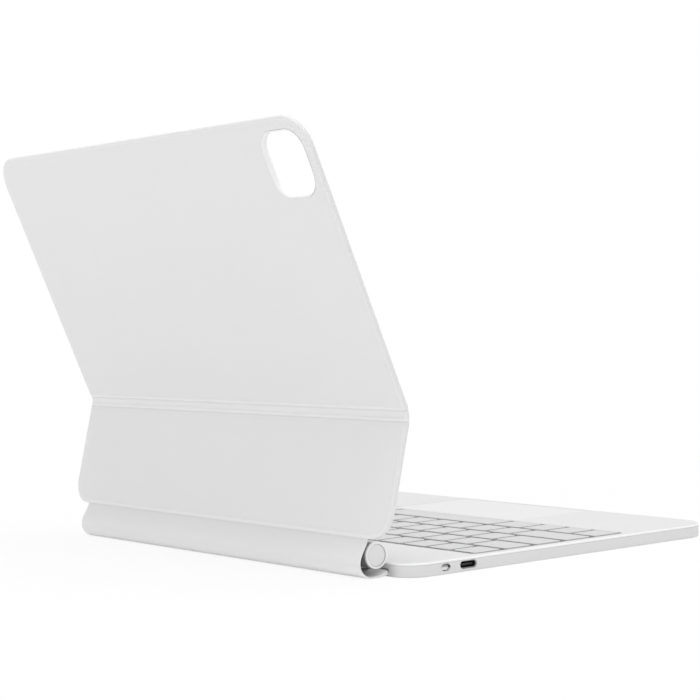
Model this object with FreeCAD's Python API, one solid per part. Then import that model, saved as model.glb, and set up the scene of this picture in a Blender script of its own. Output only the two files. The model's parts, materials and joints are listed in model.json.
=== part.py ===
"""Folding keyboard case, standing open at its usual viewing angle.

Millimetres. +X is the user's right, -Y the user's side and +Z up. The origin is the
centre of the base's underside. The leg and the cover are drawn lying flat, as in the
closed case, with the barrel's axis at zero, and are then turned up to where they stand.
"""
import FreeCAD, Part
import math
import os

# Base: overall size and layers
case_width = 247.6
base_depth = 182.0
front_corner_radius = 17.0
rear_corner_radius = 11.5
bottom_thickness = 0.9
cavity_height = 3.9
deck_thickness = 1.0
wall_thickness = 4.0
bottom_edge_round = 0.4
deck_edge_round = 0.6

# Keyboard
row_units = 14.5
row_pitch = 17.64
well_side_margin = 4.6
well_border = 0.5
well_corner_radius = 3.0
rear_strip = 39.0
key_gap = 2.6
key_wall = 0.7
key_corner_radius = 1.4
key_edge_round = 0.3
key_proud = 0.3
key_travel = 1.0
key_floor_gap = 1.1
support_plate_thickness = 0.5
membrane_thickness = 0.3
dome_sheet_thickness = 0.2
dome_foot_radius = 2.6
dome_top_radius = 1.4
sheet_margin = 0.2
membrane_tail = 1.8
link_length = 11.0
link_width = 11.0
link_bar = 0.9
link_thickness = 0.6
link_clearance = 0.3
link_end_clearance = 0.05

# Trackpad
trackpad_width = 89.6
trackpad_bridge = 2.8
trackpad_front_margin = 2.5
trackpad_thickness = 1.2
trackpad_clearance = 0.25
trackpad_corner_radius = 2.5
trackpad_recess = 0.05
trackpad_travel = 0.4
stop_clearance = 0.05
spring_thickness = 0.3
spring_margin = 5.0
spring_band = 4.0
post_radius = 1.6
switch_width = 6.0
rib_width = 2.0

# Electronics
usb_width = 8.94
usb_height = 3.16
usb_depth = 7.3
usb_wall = 0.3
usb_back_wall = 0.8
usb_tongue_width = 6.7
usb_tongue_thickness = 0.7
usb_tongue_setback = 1.5
usb_recess = 0.7
usb_from_rear = 31.8
usb_clearance = 0.1
button_width = 4.5
button_height = 2.7
button_from_rear = 19.5
button_recess = 0.9
button_edge_round = 0.5
button_clearance = 0.2
button_flange = 0.7
button_flange_thickness = 0.6
button_travel = 0.4
power_switch_depth = 2.5
power_switch_width = 5.0
board_length = 100.0
board_width = 22.0
board_gap = 0.2
chip_size = 8.0
chip_height = 1.0
chip_count = 3
cable_width = 15.0
cable_thickness = 0.15
cable_lap = 1.5
battery_side_margin = 10.3
battery_gap = 2.0
battery_headroom = 0.6

# Main hinge
barrel_radius = 5.45
barrel_wall = 1.3
barrel_inset = 13.0
barrel_clearance = 0.45
barrel_rise = 3.5
cap_thickness = 1.0
cap_rim = 0.9
cap_rim_height = 0.3
cap_plug_length = 2.0
tongue_depth = 14.0
tongue_thickness = 1.5
tongue_headroom = 0.25
tongue_end_gap = 7.8
tongue_clearance = 0.1
hinge_arm_width = 24.0
hinge_arm_thickness = 1.6
hinge_leaf_thickness = 0.8
hinge_leaf_length = 16.0
hinge_slot_clearance = 0.3
hinge_slot_angle = 16.0
hinge_end_clearance = 0.2
pin_radius = 2.0
pin_clearance = 0.05
sleeve_length = 12.0
knuckle_clearance = 0.3
leaf_clearance = 0.05
hinge_screw_count = 6
hinge_screw_end_margin = 10.0
hinge_screw_radius = 0.8
hinge_screw_head_radius = 1.6
hinge_screw_head_height = 0.7
hinge_screw_head_clearance = 0.15
boss_radius = 2.4

# Leg and cover panels
skin_thickness = 0.45
board_thickness = 1.45
liner_thickness = 0.37
device_gap = 8.0
leg_clearance = 0.36
leg_length = 48.8
leg_lean_angle = 14.0
cover_lean_angle = 22.54
lid_setback = 1.6
fold_corner_radius = 1.0
top_corner_radius = 14.0
window_width = 26.0
window_height = 27.0
window_radius = 8.5
window_side_margin = 4.9
window_top_margin = 6.1
trim_width = 0.7
trim_proud = 0.1
magnet_radius = 5.0
magnet_thickness = 1.0
magnet_clearance = 0.05
magnet_columns = 5
magnet_rows = 2
magnet_pitch = 40.0
magnet_row_start = 30.0

# Fold between leg and cover
fold_gap = 4.8
fold_knuckle_radius = 0.95
fold_knuckle_gap = 0.1
fold_pin_radius = 0.5
fold_pin_clearance = 0.05
fold_unit_pitch = 80.0
fold_unit_width = 24.0
fold_joint_gap = 0.2
fold_leaf_thickness = 0.6
fold_leaf_length = 12.0
fold_strip_bulge = 0.35

# Spine cover, the soft skin behind the barrel
spine_thickness = 0.8
spine_heel_thickness = 0.5
spine_floor_gap = 0.05
spine_root_height = 2.0
spine_hem_height = 0.7
spine_wall_gap = 0.1
spine_groove_depth = 1.5
spine_groove_headroom = 0.5
spine_belly_radius = 6.2
spine_overhang = 8.9
spine_ease = 4.0

# Heights and places that follow from the sizes above
half_width = case_width / 2
front_y = -base_depth / 2
rear_y = base_depth / 2
deck_bottom = bottom_thickness + cavity_height
deck_top = deck_bottom + deck_thickness
mid_cavity = bottom_thickness + cavity_height / 2
well_half_width = half_width - well_side_margin
field_half_width = well_half_width - well_border
unit = 2 * field_half_width / row_units
well_rear = rear_y - rear_strip
field_rear = well_rear - well_border
plate_top = bottom_thickness + support_plate_thickness
membrane_top = plate_top + membrane_thickness
dome_floor = membrane_top + dome_sheet_thickness
key_bottom = dome_floor + key_floor_gap + key_travel
key_top = deck_top + key_proud
key_ceiling = key_top - key_wall
panel_inner = device_gap - barrel_rise
liner_top = panel_inner + liner_thickness
board_top = liner_top + board_thickness
panel_outer = board_top + skin_thickness
barrel_y = rear_y + barrel_radius + barrel_clearance
barrel_z = deck_top + barrel_rise
barrel_half = half_width - barrel_inset
bore_radius = barrel_radius - barrel_wall
tongue_top = deck_bottom - tongue_headroom
tongue_bottom = tongue_top - tongue_thickness
tongue_half_span = barrel_half - cap_thickness - cap_plug_length - tongue_end_gap
leg_start = barrel_radius + leg_clearance
leg_end = leg_start + leg_length
fold_at = leg_end + fold_gap / 2
fold_z = board_top - fold_knuckle_radius - fold_knuckle_gap
cover_start = leg_end + fold_gap
cover_end = barrel_y - front_y - lid_setback
leg_swing = 90.0 - leg_lean_angle
fold_swing = leg_lean_angle + cover_lean_angle

ORIGIN = FreeCAD.Vector(0, 0, 0)
X_AXIS = FreeCAD.Vector(1, 0, 0)
UP = FreeCAD.Vector(0, 0, 1)
BARREL = FreeCAD.Vector(0, barrel_y, barrel_z)
FOLD = FreeCAD.Vector(0, -fold_at, fold_z)

parts = {}


# Shape helpers
def rounded_face(corners):
    """Flat face at z = 0 from (x, y, radius) corners, with an arc at each rounded one."""
    points = [FreeCAD.Vector(x, y, 0) for x, y, radius in corners]
    spans = []
    for index, corner in enumerate(points):
        radius = corners[index][2]
        back = (points[index - 1] - corner).normalize()
        ahead = (points[(index + 1) % len(points)] - corner).normalize()
        half = back.getAngle(ahead) / 2
        reach = radius / math.tan(half)
        middle = (back + ahead).normalize() * (radius / math.sin(half) - radius)
        spans.append((corner + back * reach, corner + middle, corner + ahead * reach))
    edges = []
    for index, (start, middle, end) in enumerate(spans):
        if start.distanceToPoint(end) > 1e-6:
            edges.append(Part.Arc(start, middle, end).toShape())
        following = spans[(index + 1) % len(spans)][0]
        if end.distanceToPoint(following) > 1e-6:
            edges.append(Part.makeLine(end, following))
    return Part.Face(Part.Wire(edges))


def slab(corners, low, high):
    """Upright solid over a rounded outline."""
    solid = rounded_face(corners).extrude(UP * (high - low))
    solid.translate(UP * low)
    return solid


def rounded_box(x_low, x_high, y_low, y_high, low, high, radius):
    corners = ((x_low, y_low), (x_high, y_low), (x_high, y_high), (x_low, y_high))
    return slab([(x, y, radius) for x, y in corners], low, high)


def box(x_low, x_high, y_low, y_high, low, high):
    corner = FreeCAD.Vector(x_low, y_low, low)
    return Part.makeBox(x_high - x_low, y_high - y_low, high - low, corner)


def panel(half, y_front, y_rear, front_radius, rear_radius, low, high):
    """Slab that is the same on both sides of the middle."""
    corners = [
        (-half, y_front, front_radius),
        (half, y_front, front_radius),
        (half, y_rear, rear_radius),
        (-half, y_rear, rear_radius),
    ]
    return slab(corners, low, high)


def rod(x_low, x_high, radius, y=0.0, z=0.0):
    """Round bar along X."""
    return Part.makeCylinder(radius, x_high - x_low, FreeCAD.Vector(x_low, y, z), X_AXIS)


def section(points, x_low, x_high):
    """Solid with a straight-sided (y, z) section, running along X."""
    corners = [FreeCAD.Vector(x_low, y, z) for y, z in points]
    face = Part.Face(Part.makePolygon(corners + corners[:1]))
    return face.extrude(X_AXIS * (x_high - x_low))


def round_edges_at(solid, height, radius):
    """Round every edge that lies flat at one height."""
    flat = [e for e in solid.Edges if max(abs(v.Z - height) for v in e.Vertexes) < 1e-6]
    return solid.makeFillet(radius, flat)


def polar(radius, degrees):
    angle = math.radians(degrees)
    return radius * math.cos(angle), radius * math.sin(angle)


def turned(y, z, degrees):
    """A (y, z) point turned about X."""
    angle = math.radians(degrees)
    return y * math.cos(angle) - z * math.sin(angle), y * math.sin(angle) + z * math.cos(angle)


def stand_leg(shape):
    """Turn a piece of the leg from lying flat to where the leg stands."""
    shape.rotate(ORIGIN, X_AXIS, -leg_swing)
    shape.translate(BARREL)
    return shape


def stand_cover(shape):
    """Bend a piece of the cover back at the fold, then stand it up with the leg."""
    shape.rotate(FOLD, X_AXIS, -fold_swing)
    return stand_leg(shape)


def leg_point(y, z):
    """Where a (y, z) point of the flat leg stands."""
    y_turned, z_turned = turned(y, z, -leg_swing)
    return y_turned + barrel_y, z_turned + barrel_z


def cover_point(y, z):
    """Where a (y, z) point of the flat cover stands."""
    y_turned, z_turned = turned(y + fold_at, z - fold_z, -fold_swing)
    return leg_point(y_turned - fold_at, z_turned + fold_z)


def group(solids):
    return Part.makeCompound(solids)


def mirrored_pair(solid):
    return [solid, solid.mirror(ORIGIN, X_AXIS)]


# Keyboard layout: each entry is a node, its keys' width in units and how many it holds
KEY_ROWS = (
    (("number_keys", 1, 13), ("delete_key", 1.5, 1)),
    (("tab_key", 1.5, 1), ("upper_letter_keys", 1, 12), ("backslash_key", 1, 1)),
    (("caps_key", 1.75, 1), ("home_letter_keys", 1, 11), ("return_key", 1.75, 1)),
    (("left_shift_key", 2.25, 1), ("lower_letter_keys", 1, 10), ("right_shift_key", 2.25, 1)),
    (
        ("globe_key", 1, 1),
        ("control_key", 1, 1),
        ("left_option_key", 1, 1),
        ("left_command_key", 1.25, 1),
        ("space_bar", 5, 1),
        ("right_command_key", 1.25, 1),
        ("right_option_key", 1, 1),
        ("left_arrow_key", 1, 1),
        (("up_arrow_key", "down_arrow_key"), 1, 1),
        ("right_arrow_key", 1, 1),
    ),
)
well_front = field_rear - row_pitch * len(KEY_ROWS) - well_border


def key_places():
    """Each key as its node, left, right, front and rear."""
    places = []
    for row, entries in enumerate(KEY_ROWS):
        rear = field_rear - row * row_pitch - key_gap / 2
        front = field_rear - (row + 1) * row_pitch + key_gap / 2
        middle = (front + rear) / 2
        left = -field_half_width
        for node, width, count in entries:
            for place in range(count):
                right = left + width * unit
                inner = (left + key_gap / 2, right - key_gap / 2)
                if isinstance(node, tuple):
                    places.append((node[0], *inner, middle + key_gap / 4, rear))
                    places.append((node[1], *inner, front, middle - key_gap / 4))
                else:
                    places.append((node, *inner, front, rear))
                left = right
    return places


def key_cap(left, right, front, rear):
    """Hollow cap, open below, with its top edge rounded."""
    cap = rounded_box(left, right, front, rear, key_bottom, key_top, key_corner_radius)
    cap = round_edges_at(cap, key_top, key_edge_round)
    inner_radius = key_corner_radius - key_wall
    hollow = rounded_box(
        left + key_wall, right - key_wall, front + key_wall, rear - key_wall,
        key_bottom, key_ceiling, inner_radius,
    )
    return cap.cut(hollow)


def scissor_pair(x, y, depth):
    """Two crossed frames, one inside the other, that carry a key."""
    length = min(link_length, depth - 2 * key_wall - link_bar)
    rise = key_ceiling - dome_floor - 2 * link_end_clearance - link_thickness
    tilt = math.degrees(math.asin(rise / length))
    height = (key_ceiling + dome_floor) / 2
    inner_width = link_width - 2 * link_bar - 2 * link_clearance
    links = []
    for width, angle in ((link_width, tilt), (inner_width, -tilt)):
        run = length - link_thickness
        frame = box(-width / 2, width / 2, -run / 2, run / 2, -link_thickness / 2, link_thickness / 2)
        hole = box(
            -width / 2 + link_bar, width / 2 - link_bar, -run / 2 + link_bar, run / 2 - link_bar,
            -link_thickness, link_thickness,
        )
        link = frame.cut(hole)
        link.rotate(ORIGIN, X_AXIS, angle)
        link.translate(FreeCAD.Vector(x, y, height))
        links.append(link)
    return links


def make_keyboard():
    sheet = (-well_half_width - sheet_margin, well_half_width + sheet_margin)
    front = well_front - sheet_margin
    rear = well_rear + membrane_tail
    parts["key_support_plate"] = box(*sheet, front, rear, bottom_thickness, plate_top)
    parts["membrane_sheet"] = box(*sheet, front, rear, plate_top, membrane_top)
    dome_sheet = box(*sheet, front, well_rear, membrane_top, dome_floor)
    caps = {}
    links = []
    domes = []
    for node, left, right, key_front, key_rear in key_places():
        x = (left + right) / 2
        y = (key_front + key_rear) / 2
        caps.setdefault(node, []).append(key_cap(left, right, key_front, key_rear))
        links.extend(scissor_pair(x, y, key_rear - key_front))
        frame_room = (key_rear - key_front) / 2 - key_wall - 2 * link_bar - link_clearance
        foot = min(dome_foot_radius, frame_room)
        top = foot * dome_top_radius / dome_foot_radius
        rise = key_ceiling - membrane_top
        domes.append(Part.makeCone(foot, top, rise, FreeCAD.Vector(x, y, membrane_top)))
    parts["dome_sheet"] = dome_sheet.multiFuse(domes)
    parts["scissor_links"] = group(links)
    for node, solids in caps.items():
        parts[node] = solids[0] if len(solids) == 1 else group(solids)


# Trackpad
trackpad_front = front_y + trackpad_front_margin
trackpad_rear = well_front - trackpad_bridge
trackpad_mid = (trackpad_front + trackpad_rear) / 2
trackpad_top = deck_top - trackpad_recess
trackpad_bottom = trackpad_top - trackpad_thickness
trackpad_stop = trackpad_bottom - trackpad_travel - stop_clearance


def trackpad_posts():
    """Four posts of the bottom cover that carry the trackpad's spring."""
    x = trackpad_width / 2 - spring_margin - spring_band / 2
    y_offset = (trackpad_rear - trackpad_front) / 2 - spring_margin - spring_band / 2
    height = trackpad_stop - spring_thickness - bottom_thickness
    posts = []
    for side in (-x, x):
        for y in (trackpad_mid - y_offset, trackpad_mid + y_offset):
            foot = FreeCAD.Vector(side, y, bottom_thickness)
            posts.append(Part.makeCylinder(post_radius, height, foot))
    return posts


def trackpad_room(low, high):
    """The trackpad's outline with its running clearance."""
    reach = trackpad_width / 2 + trackpad_clearance
    return rounded_box(
        -reach, reach, trackpad_front - trackpad_clearance, trackpad_rear + trackpad_clearance,
        low, high, trackpad_corner_radius + trackpad_clearance,
    )


def make_trackpad():
    half = trackpad_width / 2
    parts["trackpad_plate"] = rounded_box(
        -half, half, trackpad_front, trackpad_rear, trackpad_bottom, trackpad_top, trackpad_corner_radius
    )
    edge = half - spring_margin
    front = trackpad_front + spring_margin
    rear = trackpad_rear - spring_margin
    low = trackpad_stop - spring_thickness
    sheet = box(-edge, edge, front, rear, low, trackpad_stop)
    hole = box(
        -edge + spring_band, edge - spring_band, front + spring_band, rear - spring_band,
        low, trackpad_stop,
    )
    parts["trackpad_spring"] = sheet.cut(hole)
    reach = switch_width / 2
    parts["trackpad_switch"] = box(
        -reach, reach, trackpad_mid - reach, trackpad_mid + reach, bottom_thickness, trackpad_stop
    )


# Base shells
usb_y = rear_y - usb_from_rear
button_y = rear_y - button_from_rear
screw_y = rear_y - wall_thickness - tongue_depth / 2


def base_outline(inset, low, high):
    return panel(
        half_width - inset, front_y + inset, rear_y - inset,
        front_corner_radius - inset, rear_corner_radius - inset, low, high,
    )


def screw_places():
    last = tongue_half_span - hinge_screw_end_margin
    pitch = 2 * last / (hinge_screw_count - 1)
    return [(place * pitch - last, screw_y) for place in range(hinge_screw_count)]


def upright_rods(radius, low, high):
    """One upright round bar at each hinge screw."""
    return [
        Part.makeCylinder(radius, high - low, FreeCAD.Vector(x, y, low))
        for x, y in screw_places()
    ]


def round_ended_bar(width, height, y, x_low, x_high):
    """Bar along X in the left wall's middle, with half-round front and rear sides."""
    radius = height / 2
    flat = (width - height) / 2
    shape = box(x_low, x_high, y - flat, y + flat, mid_cavity - radius, mid_cavity + radius)
    ends = [rod(x_low, x_high, radius, y + side * flat, mid_cavity) for side in (-1, 1)]
    return shape.multiFuse(ends).removeSplitter()


def usb_profile(grow, x_low, x_high):
    """Port shape, grown on all sides."""
    return round_ended_bar(usb_width + 2 * grow, usb_height + 2 * grow, usb_y, x_low, x_high)


def button_profile(grow, x_low, x_high):
    """Button shape, grown on all sides."""
    return round_ended_bar(
        button_width + 2 * grow, button_height + 2 * grow, button_y, x_low, x_high
    )


def make_base_shells():
    bottom = round_edges_at(base_outline(0, 0, bottom_thickness), 0, bottom_edge_round)
    bosses = upright_rods(boss_radius, bottom_thickness, tongue_bottom)
    bottom = bottom.multiFuse(bosses + trackpad_posts())
    holes = upright_rods(hinge_screw_radius, bottom_thickness, tongue_bottom)
    parts["base_bottom_cover"] = bottom.cut(group(holes))

    ring = base_outline(0, bottom_thickness, deck_bottom)
    ring = ring.cut(base_outline(wall_thickness, bottom_thickness, deck_bottom))
    rib_middle = well_front - trackpad_bridge / 2
    rib_reach = half_width - wall_thickness
    rib = box(
        -rib_reach, rib_reach, rib_middle - rib_width / 2, rib_middle + rib_width / 2,
        bottom_thickness, deck_bottom,
    )
    slot_reach = tongue_half_span + tongue_clearance
    tongue_slot = box(
        -slot_reach, slot_reach, rear_y - 2 * wall_thickness, rear_y + wall_thickness,
        tongue_bottom - tongue_clearance, deck_bottom,
    )
    wall_reach = -half_width + wall_thickness
    usb_slot = usb_profile(usb_clearance, -half_width, wall_reach)
    button_hole = button_profile(button_clearance, -half_width, wall_reach)
    pad_room = trackpad_room(trackpad_stop, deck_bottom)
    groove = box(
        -barrel_half, barrel_half, rear_y - spine_groove_depth, rear_y,
        spine_root_height, spine_root_height + spine_thickness + spine_groove_headroom,
    )
    rooms = group([tongue_slot, usb_slot, button_hole, pad_room, groove])
    parts["base_frame"] = ring.fuse(rib).cut(rooms)

    deck = round_edges_at(base_outline(0, deck_bottom, deck_top), deck_top, deck_edge_round)
    well = rounded_box(
        -well_half_width, well_half_width, well_front, well_rear,
        deck_bottom, deck_top, well_corner_radius,
    )
    parts["deck_plate"] = deck.cut(group([well, trackpad_room(deck_bottom, deck_top)]))


# Electronics
def make_electronics():
    inner_end = -half_width + usb_depth
    mouth = -half_width + usb_recess
    shell = usb_profile(0, mouth, inner_end)
    shell = shell.cut(usb_profile(-usb_wall, mouth, inner_end - usb_back_wall))
    parts["usb_c_shell"] = shell
    tongue_reach = usb_tongue_width / 2
    parts["usb_c_tongue"] = box(
        -half_width + usb_tongue_setback, inner_end - usb_back_wall,
        usb_y - tongue_reach, usb_y + tongue_reach,
        mid_cavity - usb_tongue_thickness / 2, mid_cavity + usb_tongue_thickness / 2,
    )

    wall_inside = -half_width + wall_thickness
    flange_start = wall_inside + button_clearance
    flange_end = flange_start + button_flange_thickness
    button_face = -half_width + button_recess
    stem = button_profile(0, button_face, flange_end)
    rim = [e for e in stem.Edges if max(abs(v.X - button_face) for v in e.Vertexes) < 1e-6]
    stem = stem.makeFillet(button_edge_round, rim)
    flange_reach = button_width / 2 + button_flange
    flange = box(
        flange_start, flange_end, button_y - flange_reach, button_y + flange_reach,
        mid_cavity - button_height / 2, mid_cavity + button_height / 2,
    )
    parts["power_button"] = stem.fuse(flange).removeSplitter()
    switch_start = flange_end + button_travel + stop_clearance
    reach = power_switch_width / 2
    parts["power_switch"] = box(
        switch_start, switch_start + power_switch_depth, button_y - reach, button_y + reach,
        bottom_thickness, deck_bottom - battery_headroom,
    )

    board_left = inner_end + board_gap
    board_front = well_rear + membrane_tail + board_gap
    board = box(
        board_left, board_left + board_length, board_front, board_front + board_width,
        bottom_thickness, membrane_top,
    )
    switch_room = box(
        board_left, switch_start + power_switch_depth + board_gap,
        button_y - reach - board_gap, button_y + reach + board_gap,
        bottom_thickness, membrane_top,
    )
    chip_pitch = board_length / (chip_count + 1)
    chips = []
    for place in range(chip_count):
        x = board_left + (place + 1) * chip_pitch
        y = board_front + board_width / 2
        chips.append(
            box(x - chip_size / 2, x + chip_size / 2, y - chip_size / 2, y + chip_size / 2,
                membrane_top, membrane_top + chip_height)
        )
    parts["main_board"] = board.cut(switch_room).multiFuse(chips)
    cable_x = board_left + board_length / 2
    parts["flex_cable"] = box(
        cable_x - cable_width / 2, cable_x + cable_width / 2,
        board_front - cable_lap, board_front + cable_lap,
        membrane_top, membrane_top + cable_thickness,
    )

    cell = box(
        trackpad_width / 2 + battery_gap, half_width - wall_thickness - battery_side_margin,
        trackpad_front + battery_gap, trackpad_rear - battery_gap,
        bottom_thickness, deck_bottom - battery_headroom,
    )
    parts["battery_cells"] = group(mirrored_pair(cell))


# Main hinge
arm_length = math.hypot(leg_start, liner_top + hinge_leaf_thickness / 2)
arm_angle = math.degrees(math.atan2(liner_top + hinge_leaf_thickness / 2, -leg_start))
arm_half = hinge_arm_width / 2
sleeve_start = arm_half + hinge_end_clearance
pin_reach = sleeve_start + sleeve_length
hinge_unit_x = barrel_half - cap_thickness - cap_plug_length - pin_reach


def at_both_hinges(make):
    """Build a piece about X = 0 and set it at the right and left hinge units."""
    solids = []
    for x in (-hinge_unit_x, hinge_unit_x):
        solid = make()
        solid.translate(X_AXIS * x)
        solids.append(solid)
    return solids


def make_barrel():
    body_half = barrel_half - cap_thickness
    tube = rod(-body_half, body_half, barrel_radius, barrel_y, barrel_z)
    tongue_front = rear_y - wall_thickness - tongue_depth
    tongue = box(
        -tongue_half_span, tongue_half_span, tongue_front, barrel_y, tongue_bottom, tongue_top
    )
    web = box(
        -tongue_half_span, tongue_half_span, barrel_y - barrel_radius / 2, barrel_y,
        tongue_bottom, barrel_z,
    )
    barrel = tube.multiFuse([tongue, web])
    bore = rod(-body_half, body_half, bore_radius, barrel_y, barrel_z)
    slot_first = arm_angle - leg_swing - hinge_slot_angle
    slot_last = arm_angle + hinge_slot_angle
    wedge = [(0, 0)]
    for degrees in (slot_first, (slot_first + slot_last) / 2, slot_last):
        wedge.append(polar(3 * barrel_radius, degrees))
    wedge = [(y + barrel_y, z + barrel_z) for y, z in wedge]
    reach = arm_half + hinge_slot_clearance
    slots = at_both_hinges(lambda: section(wedge, -reach, reach))
    head_seat = tongue_top - hinge_screw_head_height - hinge_screw_head_clearance
    heads = upright_rods(
        hinge_screw_head_radius + hinge_screw_head_clearance, head_seat, deck_bottom
    )
    shanks = upright_rods(hinge_screw_radius, tongue_bottom, tongue_top)
    parts["hinge_barrel"] = barrel.cut(group([bore] + slots)).cut(group(heads)).cut(group(shanks))

    screw_heads = upright_rods(hinge_screw_head_radius, head_seat, head_seat + hinge_screw_head_height)
    screw_shanks = upright_rods(hinge_screw_radius, bottom_thickness, head_seat)
    parts["hinge_screws"] = group(
        [head.fuse(shank) for head, shank in zip(screw_heads, screw_shanks)]
    )

    disc = rod(body_half, barrel_half, barrel_radius, barrel_y, barrel_z)
    plug = rod(body_half - cap_plug_length, body_half, bore_radius, barrel_y, barrel_z)
    dish = rod(
        barrel_half - cap_rim_height, barrel_half, barrel_radius - cap_rim, barrel_y, barrel_z
    )
    parts["barrel_end_caps"] = group(mirrored_pair(disc.fuse(plug).cut(dish)))


def make_main_hinge():
    def pin():
        return rod(-pin_reach, pin_reach, pin_radius, barrel_y, barrel_z)

    parts["hinge_pins"] = group(at_both_hinges(pin))
    sleeves = []
    for side in (-1, 1):

        def sleeve():
            ends = sorted((side * sleeve_start, side * pin_reach))
            outside = rod(*ends, bore_radius, barrel_y, barrel_z)
            return outside.cut(rod(*ends, pin_radius, barrel_y, barrel_z))

        sleeves.extend(at_both_hinges(sleeve))
    parts["friction_sleeves"] = group(sleeves)

    def arm():
        knuckle = rod(-arm_half, arm_half, bore_radius - knuckle_clearance)
        half = hinge_arm_thickness / 2
        across_y, across_z = polar(half, arm_angle + 90)
        end_y, end_z = polar(arm_length, arm_angle)
        bar = section(
            [
                (across_y, across_z),
                (end_y + across_y, end_z + across_z),
                (end_y - across_y, end_z - across_z),
                (-across_y, -across_z),
            ],
            -arm_half, arm_half,
        )
        below_liner = box(-arm_half, arm_half, -2 * leg_start, -leg_start, 0, liner_top)
        past_leaf = box(
            -arm_half, arm_half, -2 * leg_start, half - leg_start,
            liner_top + hinge_leaf_thickness, 2 * panel_outer,
        )
        leaf = box(
            -arm_half, arm_half, -leg_start - hinge_leaf_length, end_y + half,
            liner_top, liner_top + hinge_leaf_thickness,
        )
        solid = bar.cut(group([below_liner, past_leaf])).multiFuse([knuckle, leaf])
        return solid.cut(rod(-arm_half, arm_half, pin_radius + pin_clearance))

    parts["hinge_arms"] = group([stand_leg(solid) for solid in at_both_hinges(arm)])


# Leg
def leg_panel(low, high):
    return panel(
        half_width, -leg_end, -leg_start, fold_corner_radius, rear_corner_radius, low, high
    )


def fold_units():
    return [place * fold_unit_pitch for place in (-1, 0, 1)]


def fold_pocket(y_low, y_high):
    """Room for the fold's leaves in the inner side of a board."""
    reach = fold_unit_width / 2 + leaf_clearance
    top = liner_top + fold_leaf_thickness + leaf_clearance
    return [box(x - reach, x + reach, y_low, y_high, liner_top, top) for x in fold_units()]


def make_leg():
    parts["leg_liner"] = stand_leg(leg_panel(panel_inner, liner_top))
    parts["leg_outer_skin"] = stand_leg(leg_panel(board_top, panel_outer))
    board = leg_panel(liner_top, board_top)
    reach = arm_half + leaf_clearance
    top = liner_top + hinge_leaf_thickness + leaf_clearance
    arm_room = at_both_hinges(
        lambda: box(
            -reach, reach, -leg_start - hinge_leaf_length - leaf_clearance, -leg_start,
            liner_top, top,
        )
    )
    leaf_room = fold_pocket(-leg_end, -leg_end + fold_leaf_length + leaf_clearance)
    parts["leg_board"] = stand_leg(board.cut(group(arm_room + leaf_room)))


# Cover
window_x = -half_width + window_side_margin + window_width / 2
window_y = -cover_end + window_top_margin + window_height / 2


def cover_panel(low, high):
    return panel(
        half_width, -cover_end, -cover_start, top_corner_radius, fold_corner_radius, low, high
    )


def window_shape(grow, low, high):
    across = window_width / 2 + grow
    along = window_height / 2 + grow
    return rounded_box(
        window_x - across, window_x + across, window_y - along, window_y + along,
        low, high, window_radius + grow,
    )


def magnet_places():
    """Rows across the cover, counted from the fold."""
    first_x = -magnet_pitch * (magnet_columns - 1) / 2
    first_y = -cover_start - magnet_row_start
    return [
        (first_x + column * magnet_pitch, first_y - row * magnet_pitch)
        for row in range(magnet_rows)
        for column in range(magnet_columns)
    ]


def magnets(grow):
    discs = []
    for x, y in magnet_places():
        foot = FreeCAD.Vector(x, y, liner_top)
        discs.append(Part.makeCylinder(magnet_radius + grow, magnet_thickness + grow, foot))
    return discs


def make_cover():
    hole = window_shape(trim_width, panel_inner, panel_outer)
    parts["cover_liner"] = stand_cover(cover_panel(panel_inner, liner_top).cut(hole))
    parts["cover_outer_skin"] = stand_cover(cover_panel(board_top, panel_outer).cut(hole))
    leaf_room = fold_pocket(-cover_start - fold_leaf_length - leaf_clearance, -cover_start)
    rooms = magnets(magnet_clearance) + leaf_room
    board = cover_panel(liner_top, board_top).cut(group([hole] + rooms))
    parts["cover_board"] = stand_cover(board)
    parts["cover_magnets"] = group([stand_cover(disc) for disc in magnets(0)])
    trim_top = panel_outer + trim_proud
    trim = window_shape(trim_width, panel_inner, trim_top)
    trim = trim.cut(window_shape(0, panel_inner, trim_top))
    parts["camera_window_trim"] = stand_cover(trim)


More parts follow.
